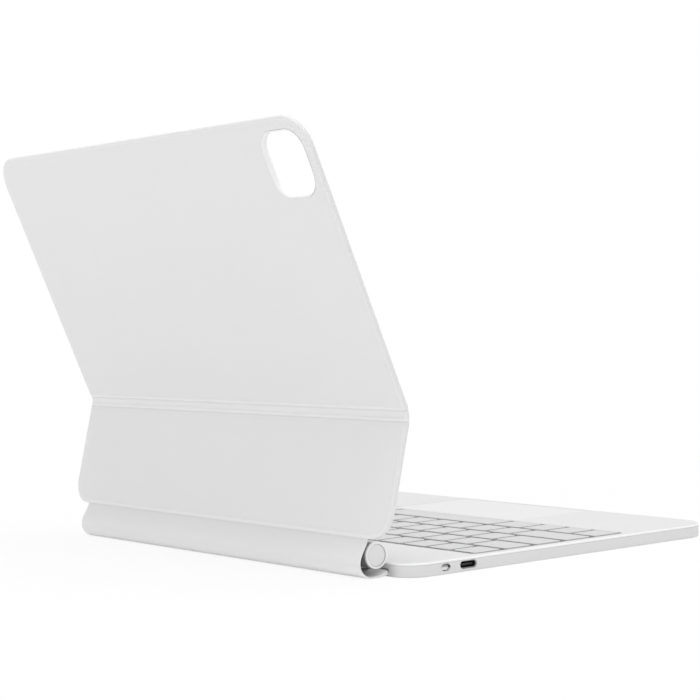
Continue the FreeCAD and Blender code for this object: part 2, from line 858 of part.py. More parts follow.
# Fold
def make_fold():
    half = fold_unit_width / 2
    prong = (fold_unit_width - 2 * fold_joint_gap) / 3
    starts = [index * (prong + fold_joint_gap) - half for index in range(3)]
    prongs = [(start, start + prong) for start in starts]
    leaf_low = liner_top
    leaf_high = liner_top + fold_leaf_thickness

    def leaf(indexes, edge, far, bore):
        """Plate in a board's pocket, with prongs that end in knuckles round the fold's axis."""
        solid = box(-half, half, *sorted((edge, far)), leaf_low, leaf_high)
        bridges = [box(*prongs[i], *sorted((edge, -fold_at)), leaf_low, leaf_high) for i in indexes]
        knuckles = [rod(*prongs[i], fold_knuckle_radius, -fold_at, fold_z) for i in indexes]
        solid = solid.multiFuse(bridges + knuckles)
        return solid.cut(rod(-half, half, bore, -fold_at, fold_z))

    leg_leaves = []
    cover_leaves = []
    pins = []
    for x in fold_units():
        leg_leaf = leaf((0, 2), -leg_end, -leg_end + fold_leaf_length, fold_pin_radius)
        cover_bore = fold_pin_radius + fold_pin_clearance
        cover_leaf = leaf((1,), -cover_start, -cover_start - fold_leaf_length, cover_bore)
        pin = rod(-half, half, fold_pin_radius, -fold_at, fold_z)
        for solid in (leg_leaf, cover_leaf, pin):
            solid.translate(X_AXIS * x)
        leg_leaves.append(stand_leg(leg_leaf))
        pins.append(stand_leg(pin))
        cover_leaves.append(stand_cover(cover_leaf))
    parts["leg_fold_leaves"] = group(leg_leaves)
    parts["cover_fold_leaves"] = group(cover_leaves)
    parts["fold_pins"] = group(pins)

    outer = [
        leg_point(-leg_end, panel_outer),
        cover_point(-cover_start, panel_outer),
        cover_point(-cover_start, board_top),
        leg_point(-leg_end, board_top),
    ]
    inward = -90 - fold_swing / 2
    bulge_near = fold_knuckle_radius + fold_strip_bulge
    bulge = []
    for radius in (bulge_near, bulge_near + liner_thickness):
        y, z = polar(radius, inward)
        bulge.append(leg_point(y - fold_at, z + fold_z))
    inner = [
        leg_point(-leg_end, liner_top),
        bulge[0],
        cover_point(-cover_start, liner_top),
        cover_point(-cover_start, panel_inner),
        bulge[1],
        leg_point(-leg_end, panel_inner),
    ]
    reach = half_width - fold_corner_radius
    parts["fold_strip"] = group([section(points, -reach, reach) for points in (outer, inner)])


# Spine cover
def make_spine():
    """Skin along the barrel: a flap from the base, a round belly, then up under the leg's skin."""
    belly_y = barrel_y + spine_overhang - spine_belly_radius
    belly_z = spine_floor_gap + spine_belly_radius
    wall_y = rear_y + spine_wall_gap
    groove_y = rear_y - spine_groove_depth
    root_top = spine_root_height + spine_thickness
    up_y, up_z = turned(-spine_ease, 0, -leg_swing)

    def point(place):
        return FreeCAD.Vector(-barrel_half, *place)

    def curve(*places):
        bezier = Part.BezierCurve()
        bezier.setPoles([point(place) for place in places])
        return bezier.toShape()

    def face(inset, heel_inset, wall_height):
        """Base end, leg end and edges of the outer face, or of the face inset inside it."""
        radius = spine_belly_radius - inset
        corner_y, corner_z = polar(radius, -45)
        wall = (wall_y, wall_height)
        below = ((wall_y + belly_y) / 2, belly_z - radius)
        floor = (belly_y, belly_z - radius)
        corner = (belly_y + corner_y, belly_z + corner_z)
        back = (belly_y + radius, belly_z)
        above = (belly_y + radius, belly_z + spine_ease)
        heel = leg_point(-leg_start, board_top - heel_inset)
        under_heel = (heel[0] - up_y, heel[1] - up_z)
        edges = [
            curve(wall, below, floor),
            Part.Arc(point(floor), point(corner), point(back)).toShape(),
            curve(back, above, under_heel, heel),
        ]
        return point(wall), point(heel), edges

    hem, heel, outside = face(0, 0, spine_hem_height)
    top, inner_heel, inside = face(spine_thickness, spine_heel_thickness, root_top)
    root = [(groove_y, root_top), (groove_y, spine_root_height), (wall_y, spine_root_height)]
    edges = outside + [Part.makeLine(heel, inner_heel)] + inside[::-1]
    edges += Part.makePolygon([top] + [point(place) for place in root] + [hem]).Edges
    parts["spine_cover"] = Part.Face(Part.Wire(edges)).extrude(X_AXIS * (2 * barrel_half))


make_keyboard()
make_trackpad()
make_base_shells()
make_electronics()
make_barrel()
make_main_hinge()
make_leg()
make_cover()
make_fold()
make_spine()

os.makedirs("parts", exist_ok=True)
for name, shape in parts.items():
    shape.exportStep(os.path.join("parts", name + ".step"))
    print(name, len(shape.Solids), "solids", round(shape.Volume, 1), "mm3", "valid", shape.isValid())
print("nodes", len(parts))
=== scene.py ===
"""Folding keyboard case: soft shells, linings, finishes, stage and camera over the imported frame.

Metres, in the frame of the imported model. Panels are worked out lying flat, as in the closed
case, and are then turned up to where they stand.
"""

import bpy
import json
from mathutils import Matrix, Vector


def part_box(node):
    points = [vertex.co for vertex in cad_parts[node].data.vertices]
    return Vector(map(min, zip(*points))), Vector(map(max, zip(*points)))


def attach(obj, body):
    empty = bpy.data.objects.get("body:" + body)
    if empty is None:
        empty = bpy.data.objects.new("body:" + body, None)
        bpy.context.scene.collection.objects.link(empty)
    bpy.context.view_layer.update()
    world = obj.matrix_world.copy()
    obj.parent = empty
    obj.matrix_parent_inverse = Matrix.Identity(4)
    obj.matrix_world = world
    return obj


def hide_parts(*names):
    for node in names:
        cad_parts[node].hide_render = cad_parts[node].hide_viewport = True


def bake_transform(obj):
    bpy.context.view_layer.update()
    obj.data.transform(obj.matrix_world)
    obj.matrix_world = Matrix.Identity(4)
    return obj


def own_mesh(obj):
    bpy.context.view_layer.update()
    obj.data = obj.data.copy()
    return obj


bl_info = {
    "name": "Folding keyboard case",
    "version": (1, 0, 0),
    "blender": (4, 5, 0),
    "location": "View3D > Sidebar > Keyboard case",
    "description": "Builds the soft shells, linings, finishes and stage of a folding keyboard case",
    "category": "Mesh",
}

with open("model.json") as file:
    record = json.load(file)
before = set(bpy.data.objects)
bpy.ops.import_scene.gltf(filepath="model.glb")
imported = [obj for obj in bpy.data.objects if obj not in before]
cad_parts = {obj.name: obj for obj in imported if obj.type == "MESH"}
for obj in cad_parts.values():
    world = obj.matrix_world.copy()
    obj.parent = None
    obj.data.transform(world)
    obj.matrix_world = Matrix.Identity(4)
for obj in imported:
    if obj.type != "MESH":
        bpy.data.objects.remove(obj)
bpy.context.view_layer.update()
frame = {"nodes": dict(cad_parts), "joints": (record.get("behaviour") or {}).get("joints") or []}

import json
import math

import bpy
import numpy as np
from mathutils import Matrix, Vector

MM = 0.001
LEAST_RADIUS = 0.02 * MM

# Scale that leaves x out of a place, so that distances are those of a side view
SIDE_VIEW = (0.0, 1.0, 1.0)

# How far the button's hidden flange reaches past the part of it that shows
FLANGE = 0.7 * MM

joints = {joint["name"]: joint for joint in frame["joints"]}
BARREL = np.array(joints["leg_hinge"]["pos_m"])
LEG_SWING = joints["leg_hinge"]["range_deg"][1]
FOLD = np.array(joints["fold_hinge"]["pos_m"])
FOLD_SWING = joints["fold_hinge"]["range_deg"][1]
KEYS = sorted(
    name for name in frame["nodes"] if name.endswith(("_key", "_keys")) or name == "space_bar"
)


# Places
def turn_about(points, pivot, degrees):
    """Points turned about the X axis through pivot: y and z mix by sine and cosine, x stays."""
    angle = np.radians(degrees)
    y = points[..., 1] - pivot[1]
    z = points[..., 2] - pivot[2]
    turned = np.array(points, float)
    turned[..., 1] = pivot[1] + y * np.cos(angle) - z * np.sin(angle)
    turned[..., 2] = pivot[2] + y * np.sin(angle) + z * np.cos(angle)
    return turned


def stand(points, body):
    """Points of the closed case, turned up to where the leg or the cover stands."""
    standing = turn_about(points, BARREL, -LEG_SWING)
    return turn_about(standing, FOLD, -FOLD_SWING) if body == "cover" else standing


def lay(points, body):
    """Standing points of the leg or the cover, turned down to the closed case."""
    if body == "cover":
        points = turn_about(points, FOLD, FOLD_SWING)
    return turn_about(points, BARREL, LEG_SWING)


def node_points(name):
    """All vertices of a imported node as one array."""
    vertices = frame["nodes"][name].data.vertices
    points = np.empty(len(vertices) * 3)
    vertices.foreach_get("co", points)
    return points.reshape(-1, 3)


def flat_box(body, *names):
    """Lowest and highest corner of some nodes of the leg or the cover, lying flat."""
    points = lay(np.concatenate([node_points(name) for name in names]), body)
    return points.min(0), points.max(0)


# Surfaces
def rounded_loop(low, high, low_radius, high_radius, inset, arc_steps, run_steps):
    """Closed loop round a rectangle with arcs at its corners.

    Each corner is a quarter circle of arc_steps points about its own centre, and each side adds
    run_steps points spaced evenly between two arcs, so loops of any size match point for point.
    """
    corners = (
        (high[0] - inset, low[1] + inset, -1, 1, low_radius, -90),
        (high[0] - inset, high[1] - inset, -1, -1, high_radius, 0),
        (low[0] + inset, high[1] - inset, 1, -1, high_radius, 90),
        (low[0] + inset, low[1] + inset, 1, 1, low_radius, 180),
    )
    arcs = []
    for x, y, inward_x, inward_y, radius, start in corners:
        radius = max(radius - inset, LEAST_RADIUS)
        angle = np.radians(start + np.linspace(0, 90, arc_steps))
        centre = np.array([x + inward_x * radius, y + inward_y * radius])
        arcs.append(centre + radius * np.column_stack([np.cos(angle), np.sin(angle)]))
    share = np.linspace(0, 1, run_steps + 2)[1:-1, None]
    pieces = []
    for arc, following in zip(arcs, arcs[1:] + arcs[:1]):
        pieces.append(arc)
        pieces.append(arc[-1] + (following[0] - arc[-1]) * share)
    return np.concatenate(pieces)


def loop_rings(low, high, low_radius, high_radius, profile, arc_steps=12, run_steps=14):
    """A profile carried round a rectangle: one rounded loop for each (inset, height) step."""
    rings = []
    for inset, height in profile:
        loop = rounded_loop(low, high, low_radius, high_radius, inset, arc_steps, run_steps)
        rings.append(np.column_stack([loop, np.full(len(loop), height)]))
    return np.stack(rings)


def quarter(inset, height, radius, start, end):
    """Part of a circle in the profile's plane, as (inset, height) steps."""
    angle = np.radians(np.linspace(start, end, 7))
    return np.column_stack([inset + radius * np.cos(angle), height + radius * np.sin(angle)])


def strip_rings(path, inward, thickness, half_width, end_round):
    """A strip: a (y, z) path carried along X, with half its thickness on each side.

    thickness is one length for each step of the path. The last end_round of each end thins
    out as the root of one less the square of the way, so that the ends are round.
    """
    way = np.array([0.0, 0.15, 0.5])
    least = 0.1
    thin = np.maximum(np.sqrt(1 - (1 - way) ** 2), least)
    middle = np.linspace(-1, 1, 49)
    ends = np.ones(len(way))
    place = np.concatenate([-ends, middle, ends])
    beyond = np.concatenate([way - 1, 0 * middle, (1 - way)[::-1]]) * end_round
    scale = np.concatenate([thin, np.ones(len(middle)), thin[::-1]])
    x = place * (half_width - end_round) + beyond
    offset = 0.5 * scale[:, None, None] * thickness[:, None] * inward
    section = np.concatenate([path - offset, (path + offset)[:, ::-1]], 1)
    across = np.broadcast_to(x[:, None, None], (*section.shape[:2], 1))
    return np.concatenate([across, section], 2)


def unit(vector):
    """A vector's direction."""
    return vector / np.linalg.norm(vector)


def inward_of(path):
    """Unit normals on the left of a (y, z) path: the tangent turned by a quarter."""
    tangent = np.gradient(path, axis=0)
    tangent /= np.linalg.norm(tangent, axis=1)[:, None]
    return np.column_stack([-tangent[:, 1], tangent[:, 0]])


def bend(first, first_way, last, last_way, pull, steps):
    """Cubic curve between two (y, z) points that leaves and arrives along given directions."""
    t = np.linspace(0, 1, steps)[:, None]
    u = 1 - t
    leave = first + first_way * pull
    arrive = last - last_way * pull
    return u**3 * first + 3 * u**2 * t * leave + 3 * u * t**2 * arrive + t**3 * last


def add_piece(name, rings, ends):
    """Mesh over a grid of rings, or over several, with a quad between neighbouring points.

    Each ring closes on itself. The first and last rings are joined to each other ("join"),
    closed by one flat face each ("fan") or by quads across a thin section ("strip"). The
    faces are turned round where the volume that they enclose comes out below zero.
    """
    rows, columns = rings.shape[-3:-1]
    points = rings.reshape(-1, 3)
    index = np.arange(len(points)).reshape(-1, rows, columns)
    near = index if ends == "join" else index[:, :-1]
    far = np.roll(index, -1, 1) if ends == "join" else index[:, 1:]
    quads = np.stack([near, np.roll(near, -1, 2), np.roll(far, -1, 2), far], -1).reshape(-1, 4)
    caps = []
    if ends == "fan":
        caps = index[:, 0, ::-1].tolist() + index[:, -1].tolist()
    if ends == "strip":
        half = columns // 2
        here = np.arange(half - 1)
        across = columns - 1 - here
        cap = np.column_stack([here, here + 1, across - 1, across])
        quads = np.concatenate([quads, index[0, 0][cap[:, ::-1]], index[0, -1][cap]])
    corner = points[quads] - points.mean(0)
    first = np.cross(corner[:, 1], corner[:, 2])
    second = np.cross(corner[:, 2], corner[:, 3])
    volume = np.sum(corner[:, 0] * (first + second))
    faces = quads.tolist() + caps
    if volume < 0:
        faces = [face[::-1] for face in faces]
    mesh = bpy.data.meshes.new(name)
    mesh.from_pydata(points, [], faces)
    mesh.shade_smooth()
    if mesh.validate():
        raise RuntimeError(name + " has faces that Blender had to mend")
    piece = bpy.data.objects.new(name, mesh)
    bpy.context.scene.collection.objects.link(piece)
    return piece


def tint(piece, rings, tone):
    """Keep a tone of painted light and shade for each point of a piece's rings, as a point attribute.
    """
    store = piece.data.attributes.new("tone", "FLOAT", "POINT")
    store.data.foreach_set("value", np.broadcast_to(tone, rings.shape[:2]).ravel())


# Shader expressions
def math_node(operation, swapped=False):
    """A method of Term that adds one Math node, with its two inputs swapped where asked."""

    def method(term, other):
        first, second = (other, term) if swapped else (term, other)
        return term.tree.node("ShaderNodeMath", {"operation": operation}, {0: first, 1: second})

    return method


class Term:
    """A shader socket in a Python expression: each operator adds one Math node."""

    __add__ = math_node("ADD")
    __radd__ = math_node("ADD", True)
    __sub__ = math_node("SUBTRACT")
    __rsub__ = math_node("SUBTRACT", True)
    __mul__ = math_node("MULTIPLY")
    __rmul__ = math_node("MULTIPLY", True)
    __gt__ = math_node("GREATER_THAN")
    __lt__ = math_node("LESS_THAN")

    def __init__(self, tree, socket):
        self.tree = tree
        self.socket = socket


class Tree:
    """The node tree of a material or a world, written one expression at a time."""

    def __init__(self, owner):
        self.owner = owner
        owner.use_nodes = True
        self.node_tree = owner.node_tree
        self.node_tree.nodes.clear()

    def node(self, kind, settings=None, sockets=None, output=0):
        """Add a node: its settings first, then its socket values and links."""
        made = self.node_tree.nodes.new(kind)
        for key, value in (settings or {}).items():
            setattr(made, key, value)
        for key, value in (sockets or {}).items():
            if isinstance(value, Term):
                self.node_tree.links.new(value.socket, made.inputs[key])
            else:
                made.inputs[key].default_value = value
        return Term(self, made.outputs[output]) if made.outputs else None

    def place(self, stretch=(1.0, 1.0, 1.0)):
        """Object coordinates in metres, stretched along the axes."""
        where = self.node("ShaderNodeTexCoord", output="Object")
        return self.node("ShaderNodeMapping", None, {"Vector": where, "Scale": stretch})

    def axis(self, letter):
        """One of the object coordinates, in metres."""
        return self.node("ShaderNodeSeparateXYZ", None, {0: self.place()}, letter)

    def fade(self, value, start, end, least=0.0):
        """From least to 1 while a value goes from start to end, eased at both ends."""
        settings = {"interpolation_type": "SMOOTHSTEP"}
        sockets = {"Value": value, "From Min": start, "From Max": end, "To Min": least}
        return self.node("ShaderNodeMapRange", settings, sockets)

    def seen(self):
        """1 for rays that come to the camera straight, by reflection or through something."""
        rays = ("Is Camera Ray", "Is Glossy Ray", "Is Transmission Ray")
        straight, reflected, through = [self.node("ShaderNodeLightPath", output=ray) for ray in rays]
        return straight + reflected + through

    def noise(self, scale, detail=2.0, roughness=0.5, stretch=(1.0, 1.0, 1.0)):
        """Noise between 0 and 1, scaled in features per metre and stretched along the axes."""
        where = self.place(stretch)
        sockets = {"Vector": where, "Scale": scale, "Detail": detail, "Roughness": roughness}
        return self.node("ShaderNodeTexNoise", None, sockets)

    def cells(self, scale, feature="F1"):
        """Distance to the nearest of scattered points."""
        settings = {"feature": feature}
        sockets = {"Vector": self.place(), "Scale": scale}
        return self.node("ShaderNodeTexVoronoi", settings, sockets, "Distance")

    def stripes(self, scale, axis):
        """Sine bands across one axis."""
        settings = {"wave_type": "BANDS", "bands_direction": axis}
        return self.node("ShaderNodeTexWave", settings, {"Vector": self.place(), "Scale": scale})

    def vector(self, operation, first, second=(0.0, 0.0, 0.0), output=0):
        """One Vector Math node."""
        settings = {"operation": operation}
        return self.node("ShaderNodeVectorMath", settings, {0: first, 1: second}, output)

    def mix(self, share, first, second):
        """Colour between two colours."""
        settings = {"data_type": "RGBA"}
        return self.node("ShaderNodeMix", settings, {0: share, 6: first, 7: second}, 2)

    def tones(self, share, colour, dark, light):
        """Colour between two shades of one colour."""
        return self.mix(share, shade(colour, dark), shade(colour, light))

    def bump(self, height, distance, strength):
        """Normals of a surface that a height raises by up to a distance."""
        sockets = {"Height": height, "Distance": distance, "Strength": strength}
        return self.node("ShaderNodeBump", None, sockets)

    def show(self, shader):
        """Link a shader to the material's output and give back the material."""
        self.node("ShaderNodeOutputMaterial", None, {"Surface": shader})
        return self.owner

    def surface(self, sockets):
        """Show one principled shader."""
        return self.show(self.node("ShaderNodeBsdfPrincipled", None, sockets))


def shade(colour, factor):
    """A colour made lighter or darker, with full alpha."""
    return (*[min(1.0, value * factor) for value in colour[:3]], 1.0)


def new_finish(name):
    """The empty tree of a new material."""
    return Tree(bpy.data.materials.new(name))


def wear(piece, material):
    """Give an object one finish."""
    piece.data.materials.clear()
    piece.data.materials.append(material)


def wear_nodes(material, *names):
    """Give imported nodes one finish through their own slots."""
    for name in names:
        for slot in frame["nodes"][name].material_slots:
            slot.material = material


# Finishes
def skin_finish(colour):
    """Soft-touch coated sheet: fine pebble grain, faint clouding, matt with a slight sheen.

    A piece's tone paints light and shade into the sheet: a tenth lighter for each 1, or darker below
    0, up to 2.
    """
    tree = new_finish("soft_skin")
    clouds = tree.noise(16.0, 3.0)
    # The tone attribute carries painted light and shade: highlights on edges and lips, shade at folds
    # and under the leg's heel, light near the floor
    tone = tree.node("ShaderNodeAttribute", {"attribute_name": "tone"}, output="Fac")
    pebbles = tree.cells(1500.0, "SMOOTH_F1")
    grain = tree.noise(3200.0, 2.0)
    return tree.surface({
        "Base Color": tree.tones(0.47 + 0.06 * clouds + 0.25 * tone, colour, 0.8, 1.2),
        "Roughness": 0.52 + 0.12 * tree.noise(60.0, 4.0),
        "Specular IOR Level": 0.35,
        "Sheen Weight": 0.05,
        "Normal": tree.bump(0.6 * pebbles + 0.4 * grain, 0.02 * MM, 0.35),
    })


def lining_finish(name, colour):
    """Brushed microfibre: short nap that lies in drifts, soft and almost without gloss."""
    tree = new_finish(name)
    drifts = tree.noise(45.0, 4.0, 0.6, (1.0, 0.6, 0.6))
    nap = tree.noise(2600.0, 3.0, 0.6, (1.0, 0.35, 0.35))
    tone = 0.6 * drifts + 0.4 * nap
    return tree.surface({
        "Base Color": tree.tones(tone, colour, 0.86, 1.08),
        "Roughness": 0.86 + 0.1 * nap,
        "Specular IOR Level": 0.2,
        "Sheen Weight": 0.25,
        "Sheen Roughness": 0.6,
        "Normal": tree.bump(nap, 0.05 * MM, 0.5),
    })


def moulding(tree, colour, grain_scale):
    """What moulded plastic has: a colour with faint flow clouds, handling polish and grain."""
    flow = tree.noise(9.0, 3.0, 0.5, (0.4, 1.0, 1.0))
    polish = tree.noise(38.0, 4.0)
    grain = tree.noise(grain_scale, 3.0, 0.65)
    return tree.tones(flow, colour, 0.988, 1.008), polish, grain


def moulded_finish(name, colour, gloss, grain_scale, grain_depth):
    """Moulded plastic: spark-eroded grain, faint flow clouding and a little handling polish."""
    tree = new_finish(name)
    plain, polish, grain = moulding(tree, colour, grain_scale)
    return tree.surface({
        "Base Color": plain,
        "Roughness": gloss - 0.06 + 0.12 * polish,
        "Specular IOR Level": 0.45,
        "Normal": tree.bump(grain, grain_depth, 0.4),
    })


def base_finish(colour):
    """Moulded shells, with painted light and shade: a painted highlight on the lip round the deck's
    edge, painted shade in the seam under it and round the button hole, and a painted shadow inside the
    hole.

    The hole's shape is the distance to a short line in the button's middle, so its ends are round.
    """
    tree = new_finish("moulded_shell")
    low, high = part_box("deck_plate")
    button_low, button_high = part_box("power_button")
    inwards = tree.axis("X")
    height = tree.axis("Z")
    middle = (button_low + button_high) / 2
    button = button_high - button_low
    reach = tree.vector("SUBTRACT", tree.place(SIDE_VIEW), (0.0, middle[1], middle[2]))
    reach = tree.vector("ABSOLUTE", reach)
    reach = tree.vector("SUBTRACT", reach, (0.0, (button[1] - button[2]) / 2, 0.0))
    reach = tree.vector("MAXIMUM", reach, (0.0, 0.0, 0.0))
    reach = tree.vector("LENGTH", reach, output="Value")
    # Painted shade round the hole's rim and a painted shadow in the hole's upper part, where shade
    # falls
    near = (reach < button[2] / 2 - FLANGE + 0.38 * MM) * (inwards < button_high[0])
    wall = low[0] + 0.08 * MM
    hole = near * (inwards > wall) * (height > button_low[2] + FLANGE + 0.4 * MM)
    rim = near * (inwards < wall)
    # Painted highlight on the lip of the deck's edge; painted shade in the seam under it, which the
    # bump also presses in as a groove
    parting = low[2] + 0.14 * MM
    lip = (height > parting) * (height < high[2] - 0.02 * MM)
    seam = (height > low[2] - 0.1 * MM) * (height < parting)
    plain, polish, grain = moulding(tree, colour, 2200.0)
    # The highlight, then the shade in the seam and round the hole, then the shadow in the hole, are
    # painted into the colour
    edged = tree.mix(lip, plain, shade(colour, 1.24))
    lined = tree.mix(seam + rim, edged, shade(colour, 0.78))
    return tree.surface({
        "Base Color": tree.mix(hole, lined, shade(colour, 0.15)),
        "Roughness": 0.4 + 0.12 * polish - 0.1 * lip,
        "Specular IOR Level": 0.45,
        "Normal": tree.bump(grain - 4.0 * seam, 0.02 * MM, 0.4),
    })


def button_finish(colour):
    """Moulded button: pale and satin, with painted shade along its upper edge inside the hole."""
    tree = new_finish("button_plastic")
    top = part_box("power_button")[1][2] - FLANGE
    # Painted shade along the upper edge of the face, inside the hole
    shaded = tree.fade(tree.axis("Z"), top - 0.9 * MM, top - 0.2 * MM)
    grain = tree.noise(2600.0, 3.0, 0.65)
    face = tree.tones(grain, colour, 1.14, 1.2)
    return tree.surface({
        "Base Color": tree.mix(shaded, face, shade(colour, 0.4)),
        "Roughness": 0.3 + 0.1 * grain,
        "Normal": tree.bump(grain, 0.008 * MM, 0.4),
    })


def barrel_finish(colour, skin_shadow):
    """Painted barrel, with painted shade, a dark colour, on the side that the spine's skin covers."""
    tree = new_finish("barrel_paint")
    # Painted shade: the side under the spine's skin takes the dark colour
    covered = tree.fade(tree.axis("Y"), BARREL[1] + 0.5 * MM, BARREL[1] + 2.0 * MM)
    turned = tree.noise(1800.0, 3.0, 0.65, (0.2, 1.0, 1.0))
    paint_tone = tree.tones(turned, colour, 0.98, 1.0)
    skin_shadow_tone = tree.tones(turned, skin_shadow, 0.85, 1.1)
    return tree.surface({
        "Base Color": tree.mix(covered, paint_tone, skin_shadow_tone),
        "Roughness": 0.36 + 0.3 * covered + 0.06 * turned,
        "Normal": tree.bump(turned, 0.01 * MM, 0.4),
    })


def trackpad_finish(colour):
    """Satin plate: very fine tooth, faint smears."""
    tree = new_finish("satin_plate")
    smears = tree.noise(26.0, 5.0, 0.6)
    tooth = tree.noise(5200.0, 2.0)
    return tree.surface({
        "Base Color": tree.tones(smears, colour, 0.99, 1.0),
        "Roughness": 0.5 + 0.1 * smears,
        "Specular IOR Level": 0.3,
        "Normal": tree.bump(tooth, 0.008 * MM, 0.3),
    })


def cap_finish(colour):
    """Moulded cap: satin disc inside a rim with a painted highlight, and a thin line of painted shade
    where they part.
    """
    tree = new_finish("cap_plastic")
    middle = (0.0, BARREL[1], BARREL[2])
    radius = tree.vector("DISTANCE", tree.place(SIDE_VIEW), middle, "Value")
    rim_start = 4.62 * MM
    # Painted highlight on the rim and painted shade in the parting line, which the bump also presses
    # in
    rim = radius > rim_start
    line = (radius > 4.4 * MM) * (radius < rim_start)
    grain = tree.noise(2600.0, 3.0, 0.65)
    cloud = tree.noise(120.0, 3.0)
    disc = tree.tones(cloud, colour, 1.08, 1.11)
    edged = tree.mix(rim, disc, shade(colour, 1.24))
    return tree.surface({
        "Base Color": tree.mix(line, edged, shade(colour, 0.6)),
        "Roughness": 0.36 + 0.1 * cloud - 0.1 * rim,
        "Normal": tree.bump(0.3 * grain - 1.0 * line, 0.02 * MM, 0.5),
    })


def metal_finish(name, colour, roughness, stretch):
    """Drawn or turned metal: fine scratches along one way and slightly uneven tone."""
    tree = new_finish(name)
    scratches = tree.noise(2400.0, 4.0, 0.7, stretch)
    tone = tree.noise(140.0, 3.0)
    return tree.surface({
        "Base Color": tree.tones(tone, colour, 0.9, 1.05),
        "Metallic": 1.0,
        "Roughness": roughness + 0.18 * scratches,
        "Normal": tree.bump(scratches, 0.01 * MM, 0.3),
    })


def contact_finish(colour):
    """Black tongue with plated contact strips across its width, set back from its front edge."""
    tree = new_finish("port_tongue")
    inwards = tree.axis("X")
    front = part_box("usb_c_tongue")[0][0]
    strips = (tree.stripes(640.0, "Y") > 0.62) * (inwards > front + 0.9 * MM)
    speck = tree.noise(1800.0, 3.0)
    resin = tree.tones(speck, colour, 0.8, 1.3)
    return tree.surface({
        "Base Color": tree.mix(strips, resin, (0.78, 0.56, 0.24, 1.0)),
        "Metallic": strips,
        "Roughness": 0.5 - 0.22 * strips + 0.1 * speck,
        "Normal": tree.bump(strips, 0.03 * MM, 0.4),
    })


def circuit_finish(colour):
    """Printed board: solder mask over copper lanes, with pale pads."""
    tree = new_finish("circuit_board")
    lanes = tree.stripes(260.0, "X") * tree.stripes(190.0, "Y")
    copper = lanes > 0.35
    pads = tree.cells(420.0) < 0.12
    mask = tree.tones(copper, colour, 0.75, 1.35)
    return tree.surface({
        "Base Color": tree.mix(pads, mask, (0.7, 0.68, 0.6, 1.0)),
        "Metallic": 0.9 * pads,
        "Roughness": 0.42 - 0.12 * pads,
        "Normal": tree.bump(copper + pads, 0.03 * MM, 0.4),
    })


def printed_film_finish(colour):
    """Clear film with printed silver lanes that cross under the keys."""
    tree = new_finish("printed_film")
    lanes = (tree.stripes(120.0, "X") > 0.93) + (tree.stripes(75.0, "Y") > 0.95)
    dust = tree.noise(300.0, 3.0)
    film = tree.tones(dust, colour, 0.93, 1.04)
    return tree.surface({
        "Base Color": tree.mix(lanes, film, (0.42, 0.43, 0.45, 1.0)),
        "Roughness": 0.34 + 0.2 * dust,
        "Normal": tree.bump(lanes, 0.02 * MM, 0.3),
    })


def pouch_finish(colour):
    """Laminated foil pouch: long shallow wrinkles with a dull metal glint."""
    tree = new_finish("foil_pouch")
    wrinkles = tree.noise(90.0, 5.0, 0.6, (1.0, 0.3, 1.0))
    fine = tree.noise(900.0, 3.0)
    return tree.surface({
        "Base Color": tree.tones(wrinkles, colour, 0.8, 1.15),
        "Metallic": 0.7,
        "Roughness": 0.38 + 0.2 * fine,
        "Normal": tree.bump(wrinkles + 0.2 * fine, 0.12 * MM, 0.5),
    })


def silicone_finish(colour):
    """Moulded silicone: cloudy, slightly waxy."""
    tree = new_finish("silicone")
    cloud = tree.noise(220.0, 4.0)
    return tree.surface({
        "Base Color": tree.tones(cloud, colour, 0.92, 1.05),
        "Roughness": 0.55 + 0.15 * cloud,
        "Subsurface Weight": 0.1,
        "Normal": tree.bump(cloud, 0.02 * MM, 0.3),
    })


def floor_finish(colour):
    """Pale floor that takes the case's shadow near it and reads white further away."""
    tree = new_finish("studio_floor")
    speck = tree.noise(40.0, 3.0)
    paper = tree.node("ShaderNodeBsdfPrincipled", None, {
        "Base Color": tree.tones(speck, colour, 0.99, 1.0),
        "Roughness": 0.9,
        "Specular IOR Level": 0.1,
    })
    white = tree.node("ShaderNodeEmission", None, {"Color": (1.0, 1.0, 1.0, 1.0), "Strength": 1.0})
    away = tree.vector("LENGTH", tree.place(), output="Value")
    clear = tree.fade(away, 0.14, 0.42, least=0.86)
    share = clear * tree.seen()
    return tree.show(tree.node("ShaderNodeMixShader", None, {0: share, 1: paper, 2: white}))


# Settings
def number(name, description, default, **more):
    return bpy.props.FloatProperty(name=name, description=description, default=default, **more)


def length(name, description, default):
    return number(name, description, default, min=0.0, precision=5, unit="LENGTH")


def angle(name, description, degrees):
    return number(name, description, math.radians(degrees), subtype="ANGLE")


def power(name, description, default):
    return number(name, description, default, unit="POWER")


def paint(name, description, default):
    return bpy.props.FloatVectorProperty(
        name=name, description=description, default=default, size=3, min=0.0, max=1.0, subtype="COLOR"
    )


class CasePanelSizes(bpy.types.PropertyGroup):
    """Edges, hems and corners of the leg and the cover"""

    outer_round: length("Outer edge", "Radius of the edge between side and outer face", 0.5 * MM)
    inner_round: length("Inner edge", "Radius of the edge on the side of the device", 0.6 * MM)
    bead_height: length("Bead height", "How far the bead along a panel's edge stands up", 0.1 * MM)
    hem_inset: length("Hem inset", "How far the pressed hem line lies inside the edge", 1.8 * MM)
    hem_depth: length("Hem depth", "How deep the hem line is pressed", 0.1 * MM)
    lining_inset: length("Lining inset", "How far the lining stays inside the panel's edge", 1.8 * MM)
    lining_depth: length("Lining depth", "Thickness of the lining, let into the panel", 0.25 * MM)
    top_corner: length("Top corner", "Radius of the cover's two top corners", 14.0 * MM)
    heel_corner: length("Heel corner", "Radius of the leg's two lower corners", 11.5 * MM)
    fold_corner: length("Fold corner", "Radius of the corners beside the fold", 1.0 * MM)
    window_corner: length("Window corner", "Corner radius of the window's rim, outside", 9.2 * MM)
    rim_width: length("Rim width", "Width of the bevelled rim round the window", 0.7 * MM)


